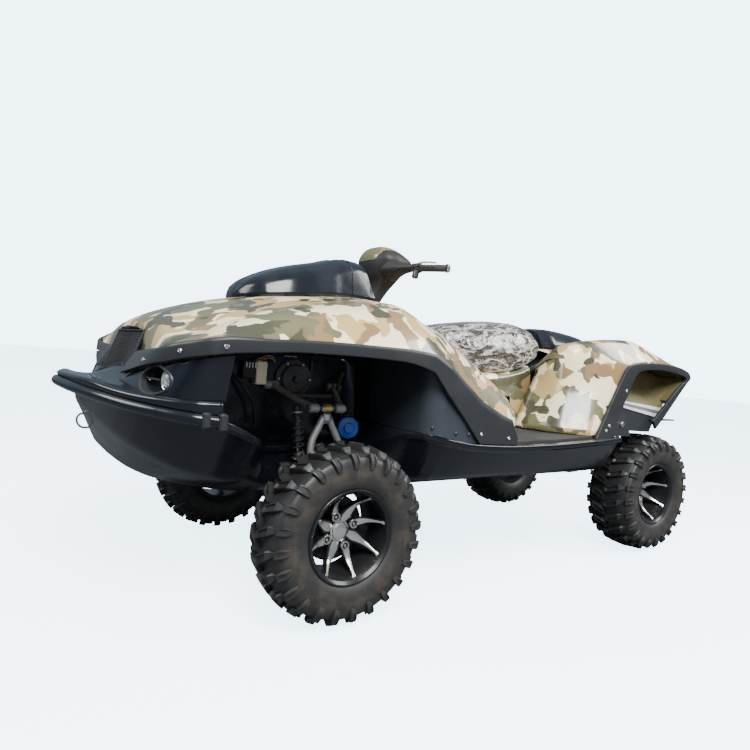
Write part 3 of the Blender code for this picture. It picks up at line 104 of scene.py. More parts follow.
# Bow rail's centre line from its clamp to the tip: x, y, z
RAIL_R = 0.018
RAIL = (
    (1.215, 0.662, 0.707),
    (1.290, 0.640, 0.714),
    (1.367, 0.560, 0.722),
    (1.437, 0.460, 0.732),
    (1.484, 0.370, 0.742),
    (1.528, 0.260, 0.752),
    (1.565, 0.120, 0.762),
    (1.5795, 0.000, 0.767),
)

# Bow deck: x, half width, edge z, platform z
BOW_DECK = (
    (1.215, 0.668, 0.768, 0.850),
    (1.290, 0.650, 0.768, 0.850),
    (1.367, 0.575, 0.768, 0.840),
    (1.437, 0.475, 0.773, 0.812),
    (1.484, 0.385, 0.782, 0.795),
    (1.528, 0.275, 0.797, 0.795),
    (1.560, 0.145, 0.800, 0.796),
    (1.580, 0.000, 0.802, 0.797),
)

# Body edge under the front trim: how far along, low x, y, z, top x, y, z
FRONT_BAND = (
    (-0.055, -0.055, 0.6750, 0.6187, -0.055, 0.6750, 0.655),
    (-0.020, -0.020, 0.6758, 0.6200, -0.020, 0.6758, 0.722),
    (0.042, 0.042, 0.6772, 0.6224, 0.042, 0.6772, 0.742),
    (0.165, 0.165, 0.6800, 0.6272, 0.165, 0.6800, 0.796),
    (0.272, 0.272, 0.6948, 0.7280, 0.272, 0.6948, 0.862),
    (0.368, 0.368, 0.7080, 0.8120, 0.368, 0.7080, 0.924),
    (0.452, 0.452, 0.7120, 0.8980, 0.452, 0.7120, 0.962),
    (0.620, 0.620, 0.7200, 0.9300, 0.620, 0.7200, 0.972),
    (0.819, 0.819, 0.7200, 0.9340, 0.819, 0.7200, 0.972),
    (1.003, 1.003, 0.7200, 0.9320, 1.003, 0.7200, 0.968),
    (1.100, 1.100, 0.7200, 0.9245, 1.100, 0.7200, 0.9625),
    (1.200, 1.2015, 0.7073, 0.9153, 1.2045, 0.7073, 0.9607),
    (1.270, 1.2650, 0.6887, 0.9043, 1.2680, 0.6867, 0.9514),
    (1.310, 1.2990, 0.6555, 0.8955, 1.2960, 0.6600, 0.9432),
    (1.370, 1.3285, 0.6043, 0.8847, 1.3270, 0.6074, 0.9332),
    (1.430, 1.3550, 0.5520, 0.8720, 1.3517, 0.5586, 0.9213),
    (1.510, 1.3695, 0.4670, 0.8600, 1.3610, 0.4790, 0.9090),
    (1.580, 1.3820, 0.3980, 0.8490, 1.3600, 0.4200, 0.9050),
    (1.690, 1.3940, 0.3180, 0.8340, 1.3560, 0.3100, 0.8980),
    (1.790, 1.4070, 0.2170, 0.8150, 1.3580, 0.2170, 0.8910),
)

# Hood along the middle: x, crest z, shoulder y, shoulder z
HOOD = (
    (0.000, 1.106, 0.270, 1.050),
    (0.060, 1.130, 0.300, 1.060),
    (0.200, 1.170, 0.380, 1.078),
    (0.350, 1.192, 0.470, 1.100),
    (0.513, 1.190, 0.500, 1.147),
    (0.720, 1.172, 0.500, 1.128),
    (0.897, 1.150, 0.500, 1.094),
    (1.053, 1.118, 0.500, 1.050),
    (1.152, 1.090, 0.500, 1.018),
    (1.235, 1.061, 0.497, 0.978),
    (1.285, 1.040, 0.494, 0.966),
    (1.325, 1.014, 0.487, 0.954),
)

# Hood's front edge from the centre line outwards: x, y, z
HOOD_LIP = (
    (1.358, 0.000, 0.984),
    (1.354, 0.105, 0.979),
    (1.345, 0.205, 0.968),
    (1.357, 0.228, 0.893),
    (1.358, 0.350, 0.9005),
    (1.361, 0.466, 0.9105),
)

# Front fender: shoulder x, y, z, how far along the band its edge is
FENDER = (
    (-0.150, 0.560, 0.764, -0.045),
    (-0.040, 0.545, 0.850, -0.005),
    (0.093, 0.530, 0.944, 0.060),
    (0.214, 0.515, 1.026, 0.170),
    (0.300, 0.505, 1.072, 0.272),
    (0.400, 0.501, 1.100, 0.368),
    (0.513, 0.501, 1.147, 0.470),
    (0.720, 0.501, 1.128, 0.700),
    (0.897, 0.501, 1.094, 0.897),
    (1.053, 0.501, 1.050, 1.060),
    (1.152, 0.501, 1.018, 1.150),
    (1.235, 0.498, 0.978, 1.200),
    (1.285, 0.495, 0.966, 1.270),
    (1.323, 0.489, 0.955, 1.310),
    (1.345, 0.482, 0.944, 1.370),
    (1.356, 0.479, 0.930, 1.420),
    (1.360, 0.472, 0.9165, 1.460),
)

# Wall behind the front trim's foot, turned inwards at the wheel arch: x, y, top z
SIDE_PANEL = (
    (0.060, 0.676, 0.715),
    (0.165, 0.679, 0.762),
    (0.272, 0.693, 0.826),
    (0.355, 0.696, 0.886),
    (0.400, 0.676, 0.910),
    (0.428, 0.620, 0.930),
    (0.432, 0.520, 0.960),
    (0.430, 0.400, 0.965),
    (0.428, 0.285, 0.965),
)

# Cheek under the nose: x, y at the bottom, x, y, z at the top
CHEEK = (
    (1.205, 0.656, 1.2015, 0.700, 0.912),
    (1.275, 0.646, 1.262, 0.686, 0.901),
    (1.322, 0.612, 1.297, 0.652, 0.892),
    (1.358, 0.562, 1.326, 0.602, 0.882),
    (1.383, 0.510, 1.353, 0.550, 0.869),
    (1.396, 0.450, 1.367, 0.464, 0.857),
    (1.407, 0.380, 1.380, 0.397, 0.846),
    (1.415, 0.300, 1.392, 0.317, 0.831),
    (1.422, 0.220, 1.404, 0.219, 0.812),
)
LAMP_AT = np.array((1.385, 0.490, 0.814))
LAMP_OUT = np.array((0.970, 0.243, 0.0))
LAMP_WIDE, LAMP_TALL = 0.088, 0.043

# Front lid: x, top z, half width
FRONT_LID = (
    (0.425, 1.362, 0.170),
    (0.513, 1.364, 0.190),
    (0.615, 1.336, 0.205),
    (0.760, 1.296, 0.205),
    (0.885, 1.246, 0.170),
    (0.945, 1.205, 0.110),
    (0.975, 1.152, 0.040),
)

# Seat: x, top z, half width
SEAT = (
    (-0.750, 1.120, 0.180),
    (-0.680, 1.170, 0.200),
    (-0.560, 1.180, 0.215),
    (-0.400, 1.168, 0.215),
    (-0.230, 1.144, 0.195),
    (-0.110, 1.122, 0.165),
    (-0.030, 1.085, 0.120),
)

# Tunnel under the seat: x, top z, top half width, bottom half width
TUNNEL = (
    (-0.640, 0.960, 0.220, 0.250),
    (-0.560, 0.932, 0.225, 0.255),
    (-0.400, 0.907, 0.225, 0.258),
    (-0.230, 0.917, 0.215, 0.262),
    (-0.120, 0.972, 0.200, 0.266),
    (-0.045, 1.020, 0.190, 0.268),
    (0.120, 1.103, 0.200, 0.270),
    (0.400, 1.150, 0.200, 0.270),
)

# Rear fender: rows from the foot of its front face to the tail, four points a row
REAR_FENDER = (
    ((-0.476, 0.280, 0.6466), (-0.482, 0.390, 0.6466), (-0.508, 0.490, 0.6466), (-0.622, 0.630, 0.6466)),
    ((-0.585, 0.280, 0.860), (-0.575, 0.390, 0.862), (-0.590, 0.490, 0.864), (-0.775, 0.635, 0.866)),
    ((-0.660, 0.262, 0.985), (-0.612, 0.390, 1.060), (-0.640, 0.500, 1.066), (-0.890, 0.637, 1.005)),
    ((-0.770, 0.262, 1.030), (-0.750, 0.390, 1.104), (-0.770, 0.530, 1.118), (-0.975, 0.640, 1.022)),
    ((-1.000, 0.262, 1.050), (-1.000, 0.400, 1.126), (-1.000, 0.560, 1.138), (-1.080, 0.6423, 1.030)),
    ((-1.200, 0.262, 1.040), (-1.200, 0.400, 1.088), (-1.200, 0.560, 1.096), (-1.220, 0.6423, 1.030)),
    ((-1.400, 0.262, 1.000), (-1.400, 0.400, 1.026), (-1.400, 0.540, 1.030), (-1.370, 0.6423, 1.016)),
    ((-1.470, 0.262, 0.965), (-1.470, 0.400, 0.976), (-1.470, 0.520, 0.980), (-1.455, 0.640, 0.982)),
)
DECK_HALF = 0.262
DECK_CROWN = 0.040

# Rear arch trim: outer x, z, inner x, z, over the arch from foot to tail leg
REAR_TRIM = (
    (-0.650, 0.6363, -0.770, 0.6407),
    (-0.765, 0.840, -0.865, 0.830),
    (-0.880, 1.000, -0.955, 0.965),
    (-0.960, 1.016, -1.010, 0.983),
    (-1.147, 1.027, -1.170, 0.992),
    (-1.300, 1.022, -1.300, 0.984),
    (-1.430, 1.000, -1.405, 0.968),
    (-1.456, 0.986, -1.424, 0.956),
    (-1.467, 0.964, -1.420, 0.946),
    (-1.440, 0.939, -1.404, 0.940),
    (-1.335, 0.841, -1.303, 0.868),
    (-1.228, 0.739, -1.198, 0.779),
    (-1.160, 0.682, -1.130, 0.724),
)

# Rear lid: x, top z, half width
REAR_LID = (
    (-1.350, 1.118, 0.150),
    (-1.200, 1.156, 0.178),
    (-1.140, 1.166, 0.190),
    (-1.000, 1.180, 0.190),
    (-0.880, 1.184, 0.190),
    (-0.800, 1.172, 0.150),
)

# Upper hull between the rear wheels: x, top z, half width at the foot, half width at the top
REAR_CORE = (
    (-1.310, 0.900, 0.300, 0.240),
    (-1.250, 0.990, 0.300, 0.250),
    (-1.000, 1.015, 0.300, 0.250),
    (-0.780, 1.000, 0.300, 0.250),
    (-0.655, 0.950, 0.245, 0.225),
)


class Net:
    """A node tree written as calls. An input takes a value or another node's output."""

    def __init__(self, tree):
        self.tree = tree

    def join(self, output, into):
        """Links an output to an input."""
        self.tree.links.new(output, into)

    def put(self, kind, inputs=None, **settings):
        """A new node with its settings, its inputs given as values or linked."""
        node = self.tree.nodes.new("ShaderNode" + kind)
        for key, value in settings.items():
            setattr(node, key, value)
        for key, value in (inputs or {}).items():
            if isinstance(value, bpy.types.NodeSocket):
                self.join(value, node.inputs[key])
            else:
                node.inputs[key].default_value = value
        return node

    def math(self, operation, *values):
        """One sum, product or other operation on values."""
        return self.put("Math", dict(enumerate(values)), operation=operation).outputs[0]

    def noise(self, place, scale, detail=2.0, distortion=0.0, output="Fac"):
        """Noise read at a place, its blobs smaller the larger the scale."""
        inputs = {"Vector": place, "Scale": scale, "Detail": detail, "Distortion": distortion}
        return self.put("TexNoise", inputs).outputs[output]

    def step(self, value, low, high, bottom=0.0, top=1.0):
        """The value's stretch from low to high, read as bottom to top."""
        inputs = {"Value": value, "From Min": low, "From Max": high, "To Min": bottom, "To Max": top}
        return self.put("MapRange", inputs, interpolation_type="SMOOTHSTEP").outputs["Result"]

    def mix(self, share, a, b):
        """Colour a, or b by the share given."""
        return self.put("Mix", {0: share, 6: a, 7: b}, data_type="RGBA").outputs[2]

    def place(self):
        """The place on the object."""
        return self.put("TexCoord").outputs["Object"]

    def bump(self, height, distance, strength=1.0):
        """The normal that a height map raised by a distance gives."""
        inputs = {"Strength": strength, "Distance": distance, "Height": height}
        return self.put("Bump", inputs).outputs["Normal"]

    def shared(self, name, inputs=None):
        """The outputs of one use of a shared node group."""
        return self.put("Group", inputs, node_tree=bpy.data.node_groups[name]).outputs


def group(name, inputs, outputs):
    """A new shader node group with its own inputs and outputs."""
    tree = bpy.data.node_groups.new(name, "ShaderNodeTree")
    for label, kind in inputs:
        tree.interface.new_socket(label, in_out="INPUT", socket_type=kind)
    for label, kind in outputs:
        tree.interface.new_socket(label, in_out="OUTPUT", socket_type=kind)
    net = Net(tree)
    return net, tree.nodes.new("NodeGroupInput").outputs, tree.nodes.new("NodeGroupOutput").inputs


def make_grain():
    """Surface grain: two noises, one four times finer, raised as a bump of the given depth."""
    inputs = [("Scale", "NodeSocketFloat"), ("Depth", "NodeSocketFloat")]
    net, given, kept = group("grain", inputs, [("Normal", "NodeSocketVector")])
    place = net.place()
    coarse = net.noise(place, given["Scale"])
    fine = net.noise(place, net.math("MULTIPLY", given["Scale"], 4.0))
    height = net.math("ADD", coarse, net.math("MULTIPLY", fine, 0.5))
    net.join(net.bump(height, given["Depth"]), kept["Normal"])


def make_marks():
    """Smudges over half a metre, dust that lies on faces turned up, and fine specks."""
    inputs = [
        ("Base", "NodeSocketColor"),
        ("Dust", "NodeSocketColor"),
        ("Share", "NodeSocketFloat"),
        ("Roughness", "NodeSocketFloat"),
    ]
    net, given, kept = group(
        "marks", inputs, [("Color", "NodeSocketColor"), ("Roughness", "NodeSocketFloat")]
    )
    coordinates = net.put("TexCoord").outputs
    place = coordinates["Object"]
    smudge = net.step(net.noise(place, 5.0, 4.0), 0.42, 0.66)
    lifted = net.put("SeparateXYZ", {"Vector": coordinates["Normal"]}).outputs["Z"]
    dust_film_and_glint = net.math("MULTIPLY", net.step(lifted, -0.2, 0.9, 0.25), net.step(smudge, 0.0, 1.0, 0.45))
    speck = net.step(net.noise(place, 420.0, 1.0), 0.66, 0.74)
    dusty = net.math("MULTIPLY", net.math("ADD", dust_film_and_glint, net.math("MULTIPLY", speck, 0.8)), given["Share"])
    net.join(net.mix(dusty, given["Base"], given["Dust"]), kept["Color"])
    dull = net.math("ADD", given["Roughness"], net.math("MULTIPLY", dusty, 0.9))
    worn = net.math("ADD", dull, net.step(smudge, 0.0, 1.0, -0.02, 0.05))
    net.join(worn, kept["Roughness"])


# Camouflage over its cream base: noise scale, place it is read from, threshold, colour
CAMOUFLAGE = (
    (6.4, (3.1, 0.4, 1.7), 0.52, (0.48, 0.33, 0.135, 1.0)),
    (7.0, (8.3, 2.9, 5.1), 0.545, (0.12, 0.112, 0.05, 1.0)),
    (6.6, (1.9, 7.7, 3.3), 0.575, (0.23, 0.14, 0.062, 1.0)),
    (7.6, (5.7, 4.1, 9.2), 0.59, (0.045, 0.044, 0.02, 1.0)),
)


def make_camouflage():
    """Blobs with crisp edges: each layer shows where its warped noise passes a threshold."""
    net, _, kept = group("camouflage", [], [("Color", "NodeSocketColor")])
    place = net.place()
    warp = net.noise(place, 10.0, output="Color")
    moved = net.put("VectorMath", {0: warp, "Scale": 0.11}, operation="SCALE").outputs[0]
    place = net.put("VectorMath", {0: place, 1: moved}, operation="ADD").outputs[0]
    colour = (0.9, 0.76, 0.48, 1.0)
    for scale, origin, threshold, layer in CAMOUFLAGE:
        seen = net.put("VectorMath", {0: place, 1: origin}, operation="ADD").outputs[0]
        field = net.noise(seen, scale, 1.5)
        colour = net.mix(net.step(field, threshold, threshold + 0.01), colour, layer)
    net.join(colour, kept["Color"])


# Finish: base colour, metal, roughness, coat, grain scale, grain depth, dust colour, dust share
FINISHES = {
    "camouflage": (None, 0.0, 0.24, 0.5, 60.0, 0.00012, (0.5, 0.44, 0.34), 0.06),
    "gloss_black": ((0.004, 0.005, 0.008), 0.0, 0.2, 0.15, 40.0, 0.00015, (0.18, 0.2, 0.23), 0.05),
    "well_black": ((0.022, 0.026, 0.034), 0.0, 0.36, 0.0, 500.0, 0.00006, (0.2, 0.2, 0.2), 0.06),
    "satin_black": ((0.016, 0.017, 0.019), 0.0, 0.38, 0.0, 900.0, 0.00006, (0.2, 0.19, 0.17), 0.08),
    "olive_shell": ((0.1, 0.08, 0.028), 0.0, 0.42, 0.1, 500.0, 0.00006, (0.2, 0.18, 0.14), 0.18),
    "grip_mat": ((0.013, 0.013, 0.014), 0.0, 0.7, 0.0, 700.0, 0.00015, (0.22, 0.2, 0.17), 0.14),
    "rim_black": ((0.005, 0.006, 0.008), 0.0, 0.3, 0.1, 300.0, 0.00004, (0.24, 0.2, 0.15), 0.03),
    "rim_silver": ((0.66, 0.63, 0.6), 1.0, 0.24, 0.0, 300.0, 0.00003, (0.3, 0.26, 0.2), 0.08),
    "dark_steel": ((0.05, 0.052, 0.056), 0.7, 0.42, 0.0, 260.0, 0.00008, (0.2, 0.17, 0.13), 0.16),
    "bright_steel": ((0.56, 0.57, 0.59), 1.0, 0.26, 0.0, 260.0, 0.00004, (0.28, 0.24, 0.18), 0.08),
    "dark_plastic": ((0.012, 0.012, 0.013), 0.0, 0.5, 0.0, 800.0, 0.00008, (0.2, 0.18, 0.15), 0.1),
    "jet_alloy": ((0.35, 0.36, 0.37), 0.9, 0.4, 0.0, 220.0, 0.0001, (0.26, 0.24, 0.2), 0.14),
    "copper": ((0.6, 0.41, 0.19), 0.9, 0.32, 0.0, 200.0, 0.00004, (0.25, 0.18, 0.12), 0.1),
    "motor_blue": ((0.008, 0.045, 0.24), 0.2, 0.32, 0.2, 200.0, 0.00006, (0.2, 0.19, 0.17), 0.1),
    "case_beige": ((0.5, 0.44, 0.32), 0.0, 0.45, 0.0, 500.0, 0.00005, (0.3, 0.26, 0.2), 0.1),
    "label_white": ((0.62, 0.62, 0.62), 0.0, 0.4, 0.0, 400.0, 0.00003, (0.4, 0.38, 0.34), 0.1),
    "upright_grey": ((0.17, 0.168, 0.166), 0.4, 0.4, 0.0, 320.0, 0.00006, (0.26, 0.23, 0.19), 0.14),
    "silver_trim": ((0.45, 0.46, 0.48), 0.8, 0.35, 0.0, 400.0, 0.00004, (0.28, 0.26, 0.22), 0.08),
}
# Blacks that mirror less of the room
DEEP = {"gloss_black", "satin_black", "dark_plastic", "rim_black"}
# Share of light that the others mirror head on, the blacks' share, and how dull a clear coat is
MIRROR, DEEP_MIRROR, COAT_DULL = 0.5, 0.3, 0.06
MADE = {}


def finish_of(name):
    """The material of that name, made the first time that it is asked for."""
    if name in MADE:
        return MADE[name]
    material = MADE[name] = bpy.data.materials.new(name + "_finish")
    material.use_nodes = True
    net = Net(material.node_tree)
    net.tree.nodes.clear()
    shader = net.put("BsdfPrincipled")
    net.join(shader.outputs[0], net.put("OutputMaterial").inputs["Surface"])
    if name in SPECIAL:
        SPECIAL[name](net, shader)
        return material
    base, metal, roughness, coat, scale, depth, dust, share = FINISHES[name]
    if base is None:
        colour = net.shared("camouflage")["Color"]
    else:
        colour = (*base, 1.0)
    marks = {"Base": colour, "Dust": (*dust, 1.0), "Share": share, "Roughness": roughness}
    dress(net, shader, marks, scale, depth)
    shader.inputs["Metallic"].default_value = metal
    shader.inputs["Coat Weight"].default_value = coat
    shader.inputs["Coat Roughness"].default_value = COAT_DULL
    shader.inputs["Specular IOR Level"].default_value = DEEP_MIRROR if name in DEEP else MIRROR
    return material


def dress(net, shader, marks, scale, depth):
    """Wires the marks and the grain into the shader."""
    worn = net.shared("marks", marks)
    net.join(worn["Color"], shader.inputs["Base Color"])
    net.join(worn["Roughness"], shader.inputs["Roughness"])
    grain = net.shared("grain", {"Scale": scale, "Depth": depth})
    net.join(grain["Normal"], shader.inputs["Normal"])


def tyre_rubber(net, shader):
    """Black rubber with brown dust where the piece's own dust attribute says, in patches."""
    patch = net.step(net.noise(net.place(), 26.0, 5.0), 0.36, 0.66, 0.25)
    share = net.math("MULTIPLY", patch, net.put("Attribute", attribute_name="dust").outputs["Fac"])
    brown = net.mix(share, (0.007, 0.008, 0.009, 1.0), (0.062, 0.046, 0.031, 1.0))
    marks = {"Base": brown, "Dust": (0.14, 0.12, 0.09, 1.0), "Share": 0.05, "Roughness": 0.5}
    dress(net, shader, marks, 420.0, 0.00025)


def seat_cover(net, shader):
    """Dark cushion under a crinkled clear film: thin bright folds where noise crosses its middle, their
    brightness a painted highlight for the film's glints.
    """
    turn = {"Vector": net.place(), "Rotation": (0.3, 0.2, 0.6), "Scale": (1.0, 3.4, 2.6)}
    stretched = net.put("Mapping", turn).outputs[0]

    def folds(noise, sharp):
        off = net.math("ABSOLUTE", net.math("SUBTRACT", noise, 0.5))
        return net.math("SUBTRACT", 1.0, net.math("MULTIPLY", off, sharp))

    broad = net.noise(stretched, 6.0, 5.0, 0.8)
    narrow = net.noise(stretched, 19.0, 4.0, 0.6)
    broad_part = net.math("MULTIPLY", folds(broad, 9.0), 0.6)
    height = net.math("ADD", broad_part, net.math("MULTIPLY", folds(narrow, 8.0), 0.4))
    # Painted highlight: the bright colour along the folds stands for the clear film's glints
    dust_film_and_glint = net.step(height, 0.22, 0.95)
    colour = net.mix(dust_film_and_glint, (0.05, 0.038, 0.028, 1.0), (0.64, 0.6, 0.54, 1.0))
    net.join(colour, shader.inputs["Base Color"])
    net.join(net.step(broad, 0.3, 0.7, 0.08, 0.22), shader.inputs["Roughness"])
    net.join(net.bump(height, 0.01), shader.inputs["Normal"])
    shader.inputs["Coat Weight"].default_value = 1.0
    shader.inputs["Coat Roughness"].default_value = COAT_DULL


# Backdrop's and floor's cool tint, and the strength at which the camera sees the two
SKY = (0.64, 0.83, 1.0, 1.0)
SKY_SEEN, FLOOR_SEEN, SKY_LIGHT = 7.4, 5.4, 0.42


def floor_pale(net, shader):
    """A floor seen pale, close to the backdrop, that throws little light back on the object."""
    cloud = net.noise(net.place(), 0.6)
    seen = net.put("LightPath").outputs["Is Camera Ray"]
    pale = net.mix(cloud, (0.8, 0.84, 0.88, 1.0), (0.84, 0.87, 0.9, 1.0))
    dim = net.mix(cloud, (0.13, 0.14, 0.15, 1.0), (0.16, 0.17, 0.18, 1.0))
    net.join(net.mix(seen, dim, pale), shader.inputs["Base Color"])
    net.join(net.math("MULTIPLY", seen, FLOOR_SEEN), shader.inputs["Emission Strength"])
    shader.inputs["Roughness"].default_value = 0.8
    shader.inputs["Specular IOR Level"].default_value = 0.1
    shader.inputs["Emission Color"].default_value = SKY


def lamp_glass(net, shader):
    """A clear lens with faint upright flutes."""
    place = net.place()
    flutes = net.put("TexWave", {"Vector": place, "Scale": 60.0, "Distortion": 0.2}, bands_direction="Y")
    net.join(net.bump(flutes.outputs["Fac"], 0.0006, 0.3), shader.inputs["Normal"])
    smear = net.step(net.noise(place, 30.0, 3.0), 0.3, 0.8, 0.03, 0.14)
    net.join(smear, shader.inputs["Roughness"])
    shader.inputs["Base Color"].default_value = (0.86, 0.9, 0.93, 1.0)
    shader.inputs["Transmission Weight"].default_value = 0.85


SPECIAL = {special.__name__: special for special in (tyre_rubber, seat_cover, lamp_glass, floor_pale)}


def smooth(knots, values, slope, places):
    """Values at places between knots k and k+1, a step of h apart, t of the way along it:
    (1+2t)(1-t)^2 v_k + t(1-t)^2 h s_k + t^2(3-2t) v_k+1 + t^2(t-1) h s_k+1."""
    k = np.clip(np.searchsorted(knots, places, "right") - 1, 0, len(knots) - 2)
    h = (knots[k + 1] - knots[k])[:, None]
    t = (places - knots[k])[:, None] / h
    start = (1 + 2 * t) * (1 - t) ** 2 * values[k] + t * (1 - t) ** 2 * h * slope[k]
    return start + t * t * (3 - 2 * t) * values[k + 1] + t * t * (t - 1) * h * slope[k + 1]


def smooth_read(table, places):
    """Rows of a table read at places along its first column. The slope at each knot is the harmonic mean
    of the chords beside it, or 0 where they differ in sign, so that nothing overshoots."""
    table = np.array(table, float)
    table = table[np.argsort(table[:, 0])]
    knots, values = table[:, 0], table[:, 1:]
    chord = np.diff(values, axis=0) / np.diff(knots)[:, None]
    slope = np.zeros_like(values)
    before, after = chord[:-1], chord[1:]
    both = before * after > 0
    slope[1:-1][both] = 2 * before[both] * after[both] / (before[both] + after[both])
    slope[0], slope[-1] = chord[0], chord[-1]
    return smooth(knots, values, slope, np.clip(np.atleast_1d(places), knots[0], knots[-1]))


def smooth_rows(table, count):
    """A table read at places spaced evenly over its rows, by their number."""
    numbered = [(number, *row) for number, row in enumerate(table)]
    return smooth_read(numbered, np.linspace(0, len(table) - 1, count))


def stations(table, count):
    """Evenly spaced places along a table's first column, with the table's own between them."""
    knots = [row[0] for row in table]
    return np.unique(np.round(np.concatenate([np.linspace(min(knots), max(knots), count), knots]), 5))


def curve(points, count):
    """Points evenly spaced along a cubic curve through the given ones, its slopes the mean of the chords."""
    points = np.array(points, float)
    length = np.concatenate([[0], np.cumsum(np.linalg.norm(np.diff(points, axis=0), axis=1))])
    slope = np.gradient(points, length, axis=0)
    places = np.linspace(length[0], length[-1], 40 * len(points))
    dense = smooth(length, points, slope, places)
    run = np.concatenate([[0], np.cumsum(np.linalg.norm(np.diff(dense, axis=0), axis=1))])
    even = np.linspace(0, run[-1], count)
    return np.stack([np.interp(even, run, dense[:, i]) for i in range(points.shape[1])], axis=1)


def rounded(lines, cut, steps=5):
    """Lines of corners (rows, corners, 3) with each inner corner replaced by the curve
    (1-t)^2 a + 2t(1-t) corner + t^2 b, whose ends a and b lie cut metres from it, at most 0.45 of a side."""
    lines = np.asarray(lines, float)
    corners = lines.shape[1]
    cuts = np.broadcast_to(cut, (corners,))
    t = np.linspace(0, 1, steps)[None, :, None]
    pieces = [lines[:, :1]]
    for k in range(1, corners - 1):
        corner = lines[:, k]
        ends = []
        for other in (lines[:, k - 1], lines[:, k + 1]):
            side = other - corner
            size = np.maximum(np.linalg.norm(side, axis=1, keepdims=True), 1e-9)
            ends.append(corner + side / size * np.minimum(cuts[k], 0.45 * size))
        a, b, c = ends[0][:, None], ends[1][:, None], corner[:, None]
        pieces.append((1 - t) ** 2 * a + 2 * t * (1 - t) * c + t * t * b)
    pieces.append(lines[:, -1:])
    return np.concatenate(pieces, axis=1)


def filled(lines, per_side):
    """Lines with per_side more points spread along each stretch between their points."""
    t = (np.arange(per_side + 1) / (per_side + 1))[None, None, :, None]
    a, b = lines[:, :-1, None], lines[:, 1:, None]
    dense = (a + (b - a) * t).reshape(len(lines), -1, 3)
    return np.concatenate([dense, lines[:, -1:]], axis=1)


def whole_ring(half):
    """Half sections (rows, points, 3) from centre line to centre line, closed by their mirror image in y."""
    other = half[:, ::-1][:, 1:-1] * np.array((1, -1, 1))
    return np.concatenate([half, other], axis=1)


def frames(path):
    """Two unit vectors square to a path at each of its points, turned along it without twisting."""
    path = np.asarray(path, float)
    along = np.gradient(path, axis=0)
    along /= np.linalg.norm(along, axis=1, keepdims=True)
    side = np.empty_like(along)
    first = np.cross(along[0], UP if abs(along[0][2]) < 0.9 else LEFT)
    side[0] = first / np.linalg.norm(first)
    for i in range(1, len(path)):
        turned = side[i - 1] - along[i] * (side[i - 1] @ along[i])
        side[i] = turned / np.linalg.norm(turned)
    return side, np.cross(along, side)


def tube_grid(path, radius, sides=14):
    """Points p(i) + r(i)(cos a side + sin a up) round a path."""
    path = np.asarray(path, float)
    radius = np.broadcast_to(radius, (len(path),))
    side, up = frames(path)
    a = circle(sides)[None, :, None]
    round_it = np.cos(a) * side[:, None] + np.sin(a) * up[:, None]
    return path[:, None] + round_it * radius[:, None, None]


def lathe_grid(profile, centre, axis, steps=48):
    """Points centre + axis h + r(cos a side + sin a up) for a profile of (r, h)."""
    axis = np.asarray(axis, float) / np.linalg.norm(axis)
    side = np.cross(axis, UP if abs(axis[2]) < 0.9 else LEFT)
    side /= np.linalg.norm(side)
    up = np.cross(axis, side)
    profile = np.asarray(profile, float)
    a = circle(steps)[None, :, None]
    spoke = np.cos(a) * side + np.sin(a) * up
    return np.asarray(centre) + profile[:, 1, None, None] * axis + profile[:, 0, None, None] * spoke


